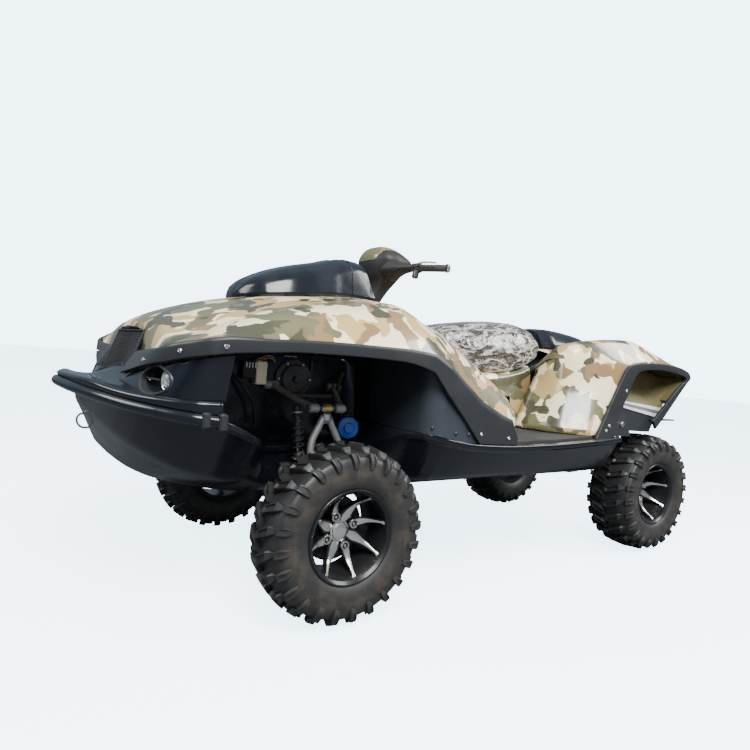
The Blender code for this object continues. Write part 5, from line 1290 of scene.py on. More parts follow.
def make_steering():
    """Head cover with its wings out to the bar, the camouflage cap on top, grips, clamps and levers."""
    up = np.linspace(HEAD[0][0], HEAD[-1][0], 30)
    ahead, behind, half = smooth_read(HEAD, up).T
    cover = Piece("head_cover")
    cover.body(head_ring(up, ahead, behind, half), "dark_plastic")
    for side in (1, -1):
        # Left, middle forward, middle up, half depth, half height
        table = (
            (0.06, 0.02, 0.15, 0.064, 0.056),
            (0.12, 0.024, 0.152, 0.05, 0.044),
            (0.18, 0.022, 0.152, 0.032, 0.027),
            (0.235, 0.016, 0.153, 0.021, 0.018),
        )
        l = np.linspace(0.06, 0.235, 14)
        f, u, deep, tall = smooth_read(table, l).T
        turn = circle(28)
        forward = f[:, None] + deep[:, None] * np.cos(turn)
        height = u[:, None] + tall[:, None] * np.sign(np.sin(turn)) * np.abs(np.sin(turn)) ** 0.8
        wing = head_spot(forward, np.broadcast_to(l[:, None] * side, forward.shape), height)
        cover.body(wing, "dark_plastic")
    turn = circle(48)
    c, d = np.cos(turn), np.sin(turn)
    brim = 0.188 - 0.034 * c
    up = brim + (0.2615 - brim) * np.linspace(0, 1, 14)[:, None]
    ahead, behind, half = (part.reshape(up.shape) for part in smooth_read(HEAD, up.ravel()).T)
    behind = np.maximum(behind, -0.086)
    forward = (ahead + behind) / 2 + ((ahead - behind) / 2 + 0.0035) * np.sign(c) * np.abs(c) ** 0.75
    left = (half * 0.9 + 0.002) * np.sign(d) * np.abs(d) ** 0.8
    cover.body(head_spot(forward, left, up + 0.004), "camouflage")
    half_bar = np.array(BAR)
    whole = np.concatenate([half_bar[::-1] * (1, -1, 1), half_bar])
    line = curve(whole, 90)
    cover.tube(head_spot(*line.T), 0.011, "dark_steel", 18)
    for side in (1, -1):
        inner, end = (head_spot(*(np.array(BAR[k]) * (1, side, 1))) for k in (2, 3))
        way = unit(end - inner)
        size = np.linalg.norm(end - inner)
        t = np.linspace(0.1, 1.0, 40)
        radius = np.where(t < 0.14, 0.0205, np.where(t > 0.96, 0.02, 0.0162 + 0.0006 * np.sin(t * 150)))
        cover.tube(between(inner, end, t[:, None]), radius, "grip_mat", 24)
        cover.rod(end + way * 0.001, end + way * 0.01, 0.0185, "rim_silver", 24, 0.003)
        cover.rod(inner - way * 0.012, inner + way * 0.014, 0.0225, "dark_plastic", 24, 0.003)
        front = unit(np.cross(LEFT, unit(STEER_AXIS)))
        pivot = inner + way * 0.004 + front * 0.018
        shape = ((0.3, 0.045), (0.62, 0.052), (0.88, 0.048))
        lever = np.stack([pivot, *(between(inner, end, share) + front * off for share, off in shape)])
        cover.tube(curve(lever, 24), np.linspace(0.0055, 0.004, 24), "bright_steel", 12)
        cover.rod(pivot - way * 0.016, pivot + way * 0.008, 0.012, "dark_plastic", 20, 0.002)
        low, high = inner - UP * 0.052 + front * 0.014, inner - UP * 0.01 + front * 0.006
        cover.rod(high, low, 0.015, "dark_plastic", 20, 0.003)
        ring = [(0.016, -0.003), (0.019, 0.0), (0.016, 0.003), (0.013, 0.0)]
        cover.turned(ring, inner - UP * 0.034 + front * 0.012, way, "bright_steel", 24, closed=True)
        course = np.array(
            ((0.025, 0.262, 0.15), (0.06, 0.215, 0.13), (0.055, 0.15, 0.11), (0.03, 0.08, 0.085))
        )
        cover.tube(head_spot(*curve(course * (1, side, 1), 30).T), 0.004, "dark_plastic", 10)
    cover.make("steering", ["handlebar"], "dark_plastic")
    column = Piece("column_tube")
    axis = unit(STEER_AXIS)
    column.rod(STEER_BASE - axis * 0.105, STEER_BASE + axis * 0.0115, 0.03, "dark_steel", 40, 0.002)
    column.make(replaces=["steering_column"], slot="dark_steel")


def make_seat():
    """Saddle section from its foot up over side and shoulder, then filled by pressure to a soft form."""
    x = stations(SEAT, 30)
    high, half = smooth_read(SEAT, x).T
    low = smooth_read(TUNNEL, x)[:, 0] + CLEAR + np.maximum(TUNNEL[0][0] - x, 0) * 0.35
    shoulder = high - (high - low) * 0.3
    lines = rows_of(
        (x, 0.0, low),
        (x, half - 0.02, low),
        (x, half, low + 0.03),
        (x, half, shoulder),
        (x, half * 0.72, high - 0.012),
        (x, 0.0, high),
    )
    ring = whole_ring(filled(rounded(lines, (0, 0.01, 0.02, 0.05, 0.04, 0), 4), 1))
    pad = Piece("saddle_pad")
    pad.body(ring, "seat_cover")
    item = pad.make("saddle", ["seat"], "seat_cover")
    inflate(item, 0.006, 4.0, 0.01)


def inflate(item, voxel, pressure, most):
    """Remeshes a piece evenly, then cloth under pressure swells it for 20 steps, its travel kept short."""
    remesh = item.modifiers.new("even", "REMESH")
    remesh.mode = "VOXEL"
    remesh.voxel_size = voxel
    bake(item)
    before = coordinates_of(item.data)
    cloth = item.modifiers.new("swell", "CLOTH")
    cloth.settings.use_pressure = True
    cloth.settings.uniform_pressure_force = pressure
    cloth.settings.effector_weights.gravity = 0
    pinned = item.vertex_groups.new(name="held")
    low = before[:, 2] < smooth_read(TUNNEL, before[:, 0])[:, 0] + 0.012
    pinned.add(np.flatnonzero(low).tolist(), 1.0, "REPLACE")
    cloth.settings.vertex_group_mass = "held"
    for step in range(1, 21):
        bpy.context.scene.frame_set(step)
    graph = bpy.context.evaluated_depsgraph_get()
    after = coordinates_of(item.evaluated_get(graph).data)
    item.modifiers.clear()
    bpy.context.scene.frame_set(1)
    travel = after - before
    size = np.linalg.norm(travel, axis=1, keepdims=True)
    moved = before + travel * np.minimum(1, most / np.maximum(size, 1e-9))
    item.data.vertices.foreach_set("co", moved.astype(np.float32).ravel())
    item.data.update()
    item.data.shade_smooth()
    fine = item.modifiers.new("fine", "SUBSURF")
    fine.levels = fine.render_levels = 1


def coordinates_of(mesh):
    """The mesh's points as an array of rows."""
    values = np.empty(len(mesh.vertices) * 3, np.float32)
    mesh.vertices.foreach_get("co", values)
    return values.reshape(-1, 3).astype(float)


def make_tunnel():
    """Console section from the deck over waist and top, hollow over the engine, with a recess each side."""
    x = stations(TUNNEL, 50)
    top, top_half, low_half = smooth_read(TUNNEL, x).T
    low = hull_top(x) + CLEAR
    lines = rows_of(
        (x, 0.0, low), (x, low_half, low), (x, low_half - 0.01, (low + top) / 2), (x, top_half, top),
        (x, 0.0, top)
    )
    tunnel = Piece("console_skin")
    ring = whole_ring(filled(rounded(lines, (0, 0.001, 0.05, 0.035, 0), 6), 1))
    tunnel.body(ring, "camouflage")
    tunnel.repaint(lambda middle: middle[:, 0] > 0.12, "satin_black")
    for side in (1, -1):
        tunnel.box((-0.423, 0.2175 * side, 0.746), (0.086, 0.008, 0.072), "dark_plastic", rim=0.003)
    item = tunnel.make(replaces=["tunnel"], slot="camouflage")
    axis = unit(STEER_AXIS)
    column = cutter(lathe_grid([(0.0305, 0.0), (0.0305, 0.22)], STEER_BASE - axis * 0.2, axis))
    recesses = [
        box_cutter((-0.478, min(y, y + 0.08), 0.697), (-0.368, max(y, y + 0.08), 0.795))
        for y in (0.222, -0.302)
    ]
    bake(item, [box_cutter((-0.62, -0.202, 0.5), (0.38, 0.202, 0.86)), column, *recesses])
    block = Piece("engine_block")
    block.box((-0.195, 0.0, 0.5926), (0.69, 0.38, 0.4146), "dark_steel", rim=0.012)
    block.make(replaces=["engine"], slot="dark_steel")
    table = ((-0.64, 0.285), (-0.3, 0.285), (0.15, 0.3))
    x = np.linspace(-0.64, 0.15, 221)
    inner = smooth_read(table, x)[:, 0]
    rib = 0.0012 * np.maximum(0, np.sin(x * 2 * pi / 0.016))
    low = hull_top(x) + CLEAR
    y = np.linspace(0, 1, 9)
    grid = [stacked(x, inner + (0.64 - inner) * t, low + 0.0085 + rib) for t in y]
    ends = [stacked(x, edge, low) for edge in (inner, np.full_like(x, 0.64))]
    mat = Piece("mat_left")
    mat.body(stacked(ends[0], *grid, ends[1]), "grip_mat")
    both_hands(mat, replaces=["foot_mat_left"], slot="grip_mat")


def make_rear():
    """Rear fenders over ruled rows, the crowned deck and its lid, trims, tail panel and olive linings."""
    lines = [smooth_rows(corners, 57) for corners in zip(*REAR_FENDER)]
    grid = filled(rounded(np.stack(lines, axis=1), (0, 0.045, 0.045, 0), 7), 1)
    fender = Piece("rear_fender_skin_left")
    edge = grid[:, -1]
    inward = unit((np.array((-1.15, 0.0, 0.72)) - edge) * (1, 0, 1)) * 0.03
    flange = edge * (1, 0, 1) + 0.6424 * LEFT + inward
    wide = np.concatenate([grid, ((edge + flange) / 2)[:, None], flange[:, None]], axis=1)
    rear = wide[-1] * (1, 1, 0) + np.array((0.01, 0.0, TAIL_EDGE_Z))
    fender.sheet(np.concatenate([wide, rear[None]]), "camouflage", (0.3, 0.3, 1))
    both_hands(
        fender, replaces=["rear_fender_left"], slot="camouflage", after=lambda item: thicken(item, 0.005)
    )

    shell = Piece("rear_shell_left")
    inner = grid[14:] - np.array((0.0, 0.014, 0.022))
    inner[..., 0] += 0.01
    shell.sheet(inner, "olive_shell", (-0.3, -0.3, -1))
    x = np.linspace(-1.44, -0.86, 30)
    top = np.interp(x, inner[::-1, 6, 0], inner[::-1, 6, 2]) + 0.004
    low_line = (0.953, 0.858, 0.83, 0.805, 0.778, 0.752, 0.792)
    foot = np.interp(x, (-1.44, -1.36, -1.34, -1.32, -1.3, -1.262, -0.86), low_line)
    slant = ((0.592, 0.0), (0.586, 0.12), (0.505, 0.32), (0.475, 0.55), (0.455, 0.8), (0.425, 1.0))
    wall = [stacked(x, y + 0 * x, foot + (top - foot) * share) for y, share in slant]
    shell.sheet(np.stack(wall, axis=1), "olive_shell", LEFT)
    # Dark disc in a raised rim that stands for a hole in the lining: painted shade
    hole_shade_disc = [(0.0, 0.004), (0.03, 0.004), (0.036, 0.0), (0.042, 0.006), (0.045, 0.0), (0.0, -0.002)]
    shell.turned(hole_shade_disc, (-1.15, 0.452, 0.985), LEFT, "dark_plastic", 32)
    both_hands(shell)

    edge_x, edge_z = lines[0][:, 0], lines[0][:, 2]
    order = np.argsort(edge_x)
    first = edge_x <= -0.77
    x = np.sort(edge_x[first])
    z = np.interp(x, edge_x[order], edge_z[order])
    y = np.linspace(-1, 1, 33)
    deck_grid = np.stack(
        np.broadcast_arrays(x[:, None], DECK_HALF * y, z[:, None] + DECK_CROWN * (1 - y ** 2)), axis=2
    )
    rear = deck_grid[0] * (1, 1, 0) + np.array((0.009, 0.0, TAIL_EDGE_Z))
    deck_grid = np.concatenate([rear[None], deck_grid])
    deck = Piece("rear_deck_skin")
    deck.sheet(deck_grid, "camouflage", UP)
    shelled(deck.make(replaces=["rear_deck"], slot="camouflage"))

    x = stations(REAR_LID, 34)
    high, half = smooth_read(REAR_LID, x).T
    edge = np.interp(x, edge_x[order], edge_z[order])
    base = [
        edge + DECK_CROWN * (1 - (share / DECK_HALF) ** 2) + 0.0012 for share in (0 * x, half * 0.6, half)
    ]
    shape = rows_of(
        (x, 0.0, base[0]), (x, half * 0.6, base[1]), (x, half, base[2]), (x, half + 0.004, base[2] + 0.03),
        (x, half * 0.7, high - 0.006), (x, 0.0, high)
    )
    lid = Piece("rear_lid_skin")
    lid.body(whole_ring(rounded(shape, (0, 0.01, 0.002, 0.03, 0.06, 0), 7)), "gloss_black")
    lid.make("rear_hatch", ["rear_lid"], "gloss_black")

    trim = Piece("rear_trim_band_left")
    out_x, out_z, in_x, in_z = smooth_rows(REAR_TRIM, 97).T
    # Sides of the band: against the fender and outwards
    near, far = 0.6428, 0.6568
    middle = ((out_x + in_x) / 2, near, (out_z + in_z) / 2)
    outer, inner = [(out_x, near, out_z), (out_x, far, out_z)], [(in_x, far, in_z), (in_x, near, in_z)]
    ring = rows_of(middle, *outer, *inner, middle)
    trim.body(rounded(ring, (0, 0.001, 0.005, 0.004, 0.001, 0), 5)[:, :-1], "satin_black")
    for x, z in ((-0.74, 0.697), (-0.719, 0.673), (-0.86, 0.872)):
        screw(trim, (x, far, z), LEFT, 0.0085, "bright_steel")
    both_hands(trim, replaces=["rear_trim_left"], slot="satin_black")

    tail = Piece("tail_skin")
    outline = [(-1.46, 0.954), (-1.3125, 0.8143), (-1.3125, 0.832), (-1.449, 0.9613)]
    tail.body(slab(outline, np.linspace(-0.6425, 0.6425, 5)), "satin_black")
    tail.repaint(lambda middle: middle[:, 0] + middle[:, 2] > -0.488, "olive_shell")
    tail.make(replaces=["tail_panel"], slot="satin_black")

    x = stations(REAR_CORE, 24)
    top, foot, half = smooth_read(REAR_CORE, x).T
    low = hull_top(x) + CLEAR
    core = Piece("rear_core_skin")
    shape = rows_of(
        (x, 0.0, low), (x, foot, low), (x, half, low + 0.12), (x, half - 0.01, top), (x, 0.0, top)
    )
    core.body(whole_ring(rounded(shape, (0, 0.002, 0.03, 0.03, 0), 6)), "gloss_black")
    core.make(replaces=["rear_core"], slot="olive_shell")

    bracket = Piece("rear_bracket_left")
    outline = [(-0.813, 0.848), (-0.885, 0.825), (-0.987, 0.64), (-0.832, 0.64)]
    bracket.body(slab(outline, (0.616, 0.621)), "dark_steel")
    for px, pz in ((-0.846, 0.74), (-0.87, 0.79), (-0.9, 0.7)):
        bracket.rod((px, 0.62, pz), (px, 0.63, pz), 0.014, "bright_steel", 20, 0.002)
    bracket.box((-1.3, 0.6, 0.724), (0.232, 0.03, 0.008), "satin_black", rim=0.002)
    for outline, y, finish in (
        ([(-0.88, 0.668), (-1.194, 0.657), (-1.25, 0.745), (-0.88, 0.8)], 0.596, "satin_black"),
        ([(-0.88, 0.793), (-1.239, 0.739), (-1.291, 0.789), (-0.88, 0.825)], 0.6, "label_white"),
        ([(-0.88, 0.807), (-1.257, 0.759), (-1.273, 0.773), (-0.88, 0.815)], 0.603, "silver_trim"),
    ):
        bracket.body(slab(outline, (y - 0.004, y + 0.002)), finish)
    both_hands(bracket)


# Wheels: place, axle x, wheel y, tyre width
WHEELS = (("front", FRONT_X, 0.613, 0.203), ("rear", REAR_X, 0.513, 0.254))
BEAD_R = 0.155
# Tyre's outside from bead to crown: share of the half width, radius
CARCASS = (
    (0.74, 0.1556),
    (0.8, 0.162),
    (0.88, 0.172),
    (0.96, 0.192),
    (0.995, 0.215),
    (1.0, 0.233),
    (0.985, 0.252),
    (0.93, 0.27),
    (0.8, 0.281),
    (0.6, 0.2885),
    (0.3, 0.293),
    (0.0, 0.2945),
)


def wheel_points(share, radius, turn, half):
    """Points of a left wheel about its own centre, its outside towards +y."""
    return np.stack(np.broadcast_arrays(radius * np.cos(turn), share * half, radius * np.sin(turn)), axis=-1)


def make_tyre(place, centre, half):
    """Carcass turned from its profile; each lug follows it from crown to side wall, slanted and recessed."""
    outline = curve(np.array(CARCASS)[:, ::-1], 34)[:, ::-1]
    ribs = np.where(
        (outline[:, 1] > 0.196) & (outline[:, 1] < 0.232), 0.0012 * np.sin((outline[:, 1] - 0.196) * 700), 0.0
    )
    share, radius = outline[:, 0] + ribs / half, outline[:, 1]
    share = np.concatenate([share, -share[::-1][1:]])
    radius = np.concatenate([radius, radius[::-1][1:]])
    turn = circle(144)[None]
    tyre = Piece(f"tyre_{place}_left_shape")
    tyre.body(wheel_points(share[:, None], radius[:, None], turn, half) + centre, "tyre_rubber", around=True)

    pitch = 2 * pi / LUG_PITCHES
    s = np.array((0.0, 0.05, 0.12, 0.18, 0.22, 0.28, 0.36, 0.42, 0.46, 0.5, 0.56, 0.6, 0.68, 0.78, 0.9, 1.0))
    reach = np.interp(s, (0, 0.45, 0.62, 0.8, 1.0), (0.03, 0.6, 0.86, 0.97, 1.0))
    base = np.interp(s, (0, 0.45, 0.62, 0.8, 1.0), (0.2944, 0.2885, 0.2772, 0.261, 0.24))
    tall = np.interp(
        s, (0, 0.42, 0.47, 0.56, 0.6, 0.8, 1.0), (0.0228, 0.0222, 0.006, 0.005, 0.019, 0.014, 0.004)
    )
    lean = np.interp(s, (0, 0.45, 0.7, 1.0), (0.02, 0.34, 0.48, 0.5))
    wide = np.interp(s, (0, 0.42, 0.48, 0.56, 0.62, 0.8, 1.0), (0.19, 0.22, 0.13, 0.12, 0.2, 0.2, 0.12))
    pocket = 0.3 * (((s > 0.04) & (s < 0.19)) | ((s > 0.21) & (s < 0.38)) | ((s > 0.65) & (s < 0.85)))
    line = stacked(reach * half, base)
    way = unit(np.gradient(line, axis=0))
    out = stacked(-way[:, 1], way[:, 0])
    out *= np.where(out[:, 1:] < 0, -1, 1)
    out[0] = (0.0, 1.0)
    # Across the lug as a share of half its width, up it as a share of its height, share of its pocket
    section = np.array((
        (-1.0, -0.15, 0.0),
        (-0.94, 0.82, 0.0),
        (-0.84, 1.0, 0.0),
        (-0.58, 1.0, 0.0),
        (-0.5, 1.0, 1.0),
        (0.5, 1.0, 1.0),
        (0.58, 1.0, 0.0),
        (0.84, 1.0, 0.0),
        (0.94, 0.82, 0.0),
        (1.0, -0.15, 0.0),
    ))
    rise = tall[:, None] * (section[None, :, 1] - pocket[:, None] * section[None, :, 2])
    spot = line[:, None] + out[:, None] * rise[..., None]
    angle = pitch * (lean[:, None] + wide[:, None] * section[None, :, 0])
    for i in range(LUG_PITCHES):
        for side, first in ((1, 0.25), (-1, 0.75)):
            where = angle + pitch * (i + first)
            lug = wheel_points(spot[..., 0] * side / half, spot[..., 1], where, half)
            tyre.body(lug + centre, "tyre_rubber")
    return tyre


def dusted(item, centre, half):
    """Adds the piece's dust attribute: much on the side walls, little on the lugs' tops."""
    place = coordinates_of(item.data) - centre * np.sign(item.data.vertices[0].co.y) ** np.array((0, 1, 0))
    radius = np.hypot(place[:, 0], place[:, 2])
    wall = np.clip((np.abs(place[:, 1]) / half - 0.8) / 0.15, 0, 1) * np.clip((0.275 - radius) / 0.05, 0, 1)
    dust = 0.06 + 0.45 * wall * np.clip((radius - 0.165) / 0.05, 0, 1)
    item.data.attributes.new("dust", "FLOAT", "POINT").data.foreach_set("value", dust.astype(np.float32))


def make_rim(place, centre, half):
    """Barrel with its steps, black dish and hub, eight swept spokes with bright faces, cap and nuts."""
    seat = half * 0.74
    flank = seat + 0.26 * half * 0.0104 / 0.0694 + 0.001
    out, back = flank + 0.01, flank + 0.007
    rim = Piece(f"rim_{place}_left_shape")
    barrel = [
        (0.1665, out - 0.001),
        (0.165, out + 0.0005),
        (0.16, out),
        (0.156, out - 0.004),
        (0.15, out - 0.009),
        (0.148, out - 0.016),
        (0.147, 0.03),
        (0.144, 0.018),
        (0.142, -0.03),
        (0.147, -back + 0.01),
        (0.148, -back),
        (0.1655, -back),
        (0.166, -flank),
        (BEAD_R - 0.001, -seat - 0.0004),
        (BEAD_R - 0.001, seat + 0.0004),
        (0.166, flank),
    ]
    rim.turned(barrel, centre, LEFT, "rim_black", 96, closed=True)
    drum = [(0.046, -0.04), (0.112, -0.04), (0.12, -0.048), (0.12, -0.062), (0.046, -0.062)]
    rim.turned(drum, centre, LEFT, "satin_black", 64, closed=True)
    dish = [(0.0, -0.004), (0.034, -0.004), (0.046, -0.01), (0.052, -0.018), (0.06, -0.034), (0.0, -0.034)]
    rim.turned(dish, centre, LEFT, "rim_black", 48)
    cap = [(0.0, 0.015), (0.014, 0.0147), (0.026, 0.013), (0.0315, 0.01), (0.033, 0.005)]
    cap += [(0.0375, 0.0035), (0.039, -0.006), (0.0, -0.006)]
    rim.turned(cap, centre, LEFT, "rim_silver", 48)
    # Radius, half width of a spoke that starts as a drop, half width of one that starts at a nut
    table = (
        (0.026, 0.004, 0.01),
        (0.04, 0.0125, 0.011),
        (0.06, 0.0165, 0.012),
        (0.078, 0.0135, 0.0125),
        (0.1, 0.0085, 0.0085),
        (0.125, 0.0052, 0.0052),
        (0.14, 0.0042, 0.0042),
        (0.144, 0.0065, 0.0065),
        (0.15, 0.0065, 0.0065),
    )
    depth = ((0.026, -0.001), (0.04, 0.003), (0.1, 0.022), (0.15, seat - 0.002))
    # Across the spoke as a share of half its width, and under its face in metres
    bright = np.array(((-1.0, -0.004), (-0.9, -0.0006), (0.0, 0.001), (0.9, -0.0006), (1.0, -0.004)))
    dark = np.array(
        ((-1.1, -0.03), (-1.35, -0.0034), (-1.1, -0.0026), (1.1, -0.0026), (1.35, -0.0034), (1.1, -0.03))
    )
    for i in range(8):
        r = np.linspace(0.07 if i % 2 else 0.03, 0.15, 24)
        face = smooth_read(depth, r)[:, 0]
        width = smooth_read(table, r)[:, i % 2]
        sweep = radians(14) * ((r - 0.026) / 0.124) ** 1.3 - radians(4)
        turn = 2 * pi * (i + 0.5) / 8 + sweep[:, None]
        for section, finish in ((bright, "rim_silver"), (dark, "rim_black")):
            across = width[:, None] * section[None, :, 0]
            x = r[:, None] * np.cos(turn) - across * np.sin(turn)
            z = r[:, None] * np.sin(turn) + across * np.cos(turn)
            y = face[:, None] + section[None, :, 1]
            rim.body(np.stack([x, y, z], axis=2) + centre, finish)
        if i % 2:
            lean = 2 * pi * (i + 0.5) / 8 - radians(1)
            boss = centre + np.array((0.058 * cos(lean), 0.0085, 0.058 * sin(lean)))
            ring = [(0.011, 0.0015), (0.0125, 0.0055), (0.016, 0.005), (0.0175, 0.0015)]
            ring += [(0.0175, -0.006), (0.011, -0.006)]
            rim.turned(ring, boss, LEFT, "rim_silver", 32, closed=True)
            pit = [(0.0, -0.001), (0.0115, -0.001), (0.0115, -0.012), (0.0, -0.012)]
            rim.turned(pit, boss, LEFT, "rim_black", 24)
            nut = [(0.0, 0.003), (0.0045, 0.003), (0.006, 0.001), (0.0062, -0.004), (0.0, -0.004)]
            rim.turned(nut, boss, LEFT, "bright_steel", 6)
    valve = centre + np.array((0.128 * cos(2.0), 0.02, 0.128 * sin(2.0)))
    rim.rod(valve, valve + np.array((-0.006, 0.028, -0.002)), 0.004, "dark_plastic", 16, 0.001)
    return rim


def make_wheels():
    """Tyres and rims, both hands alike."""
    for place, axle_x, wheel_y, width in WHEELS:
        centre, half = np.array((axle_x, wheel_y, AXLE_Z)), width / 2
        tyre, rim = make_tyre(place, centre, half), make_rim(place, centre, half)
        for hand in ("left", "right"):
            for kind, piece, slot in (("tyre", tyre, "tyre_rubber"), ("rim", rim, "rim_alloy")):
                made = piece if hand == "left" else piece.mirrored()
                item = made.make(f"wheel_{place}_{hand}", [f"{kind}_{place}_{hand}"], slot)
                if kind == "tyre":
                    dusted(item, centre, half)


def coil(piece, start, end, radius, wire, turns, finish):
    """A spring: a tube along centre(t) + radius (cos a side + sin a up), its end turns closed."""
    t = np.linspace(0, 1, turns * 20)
    squeezed = np.interp(t, (0, 0.1, 0.9, 1.0), (0.0, 0.04, 0.96, 1.0))
    start, end = np.asarray(start, float), np.asarray(end, float)
    side, up = frames(np.stack([start, end]))
    a = 2 * pi * turns * t[:, None]
    path = start + (end - start) * squeezed[:, None] + radius * (np.cos(a) * side[0] + np.sin(a) * up[0])
    piece.tube(path, wire, finish, 10)


def make_front_suspension():
    """Uprights, wishbones and coil dampers from their pivots' places."""
    # The knuckle's own plane, and the inner pivots of the upper and of the lower arm
    x, y = FRONT_X, 0.46
    arm_z, high_y, high_z = 0.734, 0.2575, 0.8
    low_y, low_z = 0.3442, 0.5
    knuckle = Piece("upright_left")
    knuckle.rod((x, y - 0.01, AXLE_Z), (x, y + 0.045, AXLE_Z), 0.05, "dark_steel", 48, 0.005)
    knuckle.rod((x, y + 0.03, AXLE_Z), (x, 0.5824, AXLE_Z), 0.04, "dark_steel", 40, 0.003)
    for sign in (1, -1):
        leg = [
            (x + 0.008 * sign, y, 0.706), (x + 0.031 * sign, y + 0.002, 0.66),
            (x + 0.056 * sign, y + 0.006, 0.61)
        ]
        leg += [(x + 0.06 * sign, y + 0.016, 0.54), (x + 0.036 * sign, y + 0.028, AXLE_Z + 0.018)]
        leg = curve(leg, 24)
        knuckle.tube(leg, np.linspace(0.0125, 0.0155, 24), "upright_grey", 20)
    knuckle.rod((x - 0.014, y, 0.69), (x + 0.014, y, 0.69), 0.015, "upright_grey", 24, 0.004)
    knuckle.rod((x, y, 0.688), (x, y, 0.716), 0.021, "bright_steel", 32, 0.003)
    knuckle.rod((x, y, AXLE_Z + 0.03), (x, y, 0.3998), 0.012, "bright_steel", 24, 0.002)
    both_hands(knuckle, "knuckle_left", ["knuckle_left"], "dark_steel")

    upper = Piece("upper_wishbone_left")
    upper.rod((x + 0.075, y, arm_z), (x - 0.075, y, arm_z), 0.011, "dark_steel", 24, 0.002)
    upper.rod((x + 0.016, y, arm_z), (x - 0.016, y, arm_z), 0.0165, "copper", 32, 0.003)
    upper.rod((x + 0.022, y, arm_z), (x - 0.022, y, arm_z), 0.013, "bright_steel", 24, 0.002)
    for sign in (1, -1):
        upper.rod(
            (x + 0.036 * sign, y, arm_z), (x + 0.075 * sign, y, arm_z), 0.0172, "upright_grey", 32, 0.003
        )
        upper.rod(
            (x + 0.135 * sign, high_y, high_z), (x + 0.06 * sign, y, arm_z), 0.013, "upright_grey", 24, 0.002
        )
        upper.rod(
            (x + 0.11 * sign, high_y, high_z), (x + 0.17 * sign, high_y, high_z), 0.0168, "upright_grey", 32,
            0.003
        )
        upper.rod(
            (x + 0.171 * sign, high_y, high_z), (x + 0.176 * sign, high_y, high_z), 0.01, "bright_steel", 6
        )
        upper.rod((x + 0.072 * sign, y, arm_z), (x + 0.081 * sign, y, arm_z), 0.011, "bright_steel", 6)
    upper.rod((x + 0.1, 0.35, 0.769), (x - 0.1, 0.35, 0.769), 0.008, "dark_steel", 20)
    both_hands(upper, replaces=["upper_arm_left"], slot="dark_steel")

    lower = Piece("lower_wishbone_left")
    lower.rod((x, y, 0.4005), (x, y, 0.428), 0.0135, "dark_steel", 32, 0.002)
    for sign in (1, -1):
        lower.rod((x + 0.085 * sign, low_y, low_z), (x, y - 0.003, 0.414), 0.0115, "dark_steel", 24, 0.002)
        lower.rod(
            (x + 0.06 * sign, low_y, low_z), (x + 0.12 * sign, low_y, low_z), 0.016, "dark_steel", 32, 0.003
        )
    both_hands(lower, replaces=["lower_arm_left"], slot="dark_steel")

    shock = Piece("front_damper_left")
    top, foot = np.array((0.829, 0.392, 0.7385)), np.array((0.8, 0.392, 0.483))
    shock.rod(top, between(top, foot, 0.58), 0.014, "dark_steel", 32, 0.002)
    shock.rod(between(top, foot, 0.5), foot, 0.007, "bright_steel", 20, 0.001)
    collar = [(0.012, -0.002), (0.024, -0.002), (0.024, 0.002), (0.012, 0.002)]
    for share in (0.1, 0.78):
        shock.turned(collar, between(top, foot, share), foot - top, "silver_trim", 32, closed=True)
    coil(shock, between(top, foot, 0.115), between(top, foot, 0.765), 0.0195, 0.0038, 8, "satin_black")
    both_hands(shock, replaces=["front_shock_left"], slot="dark_steel")


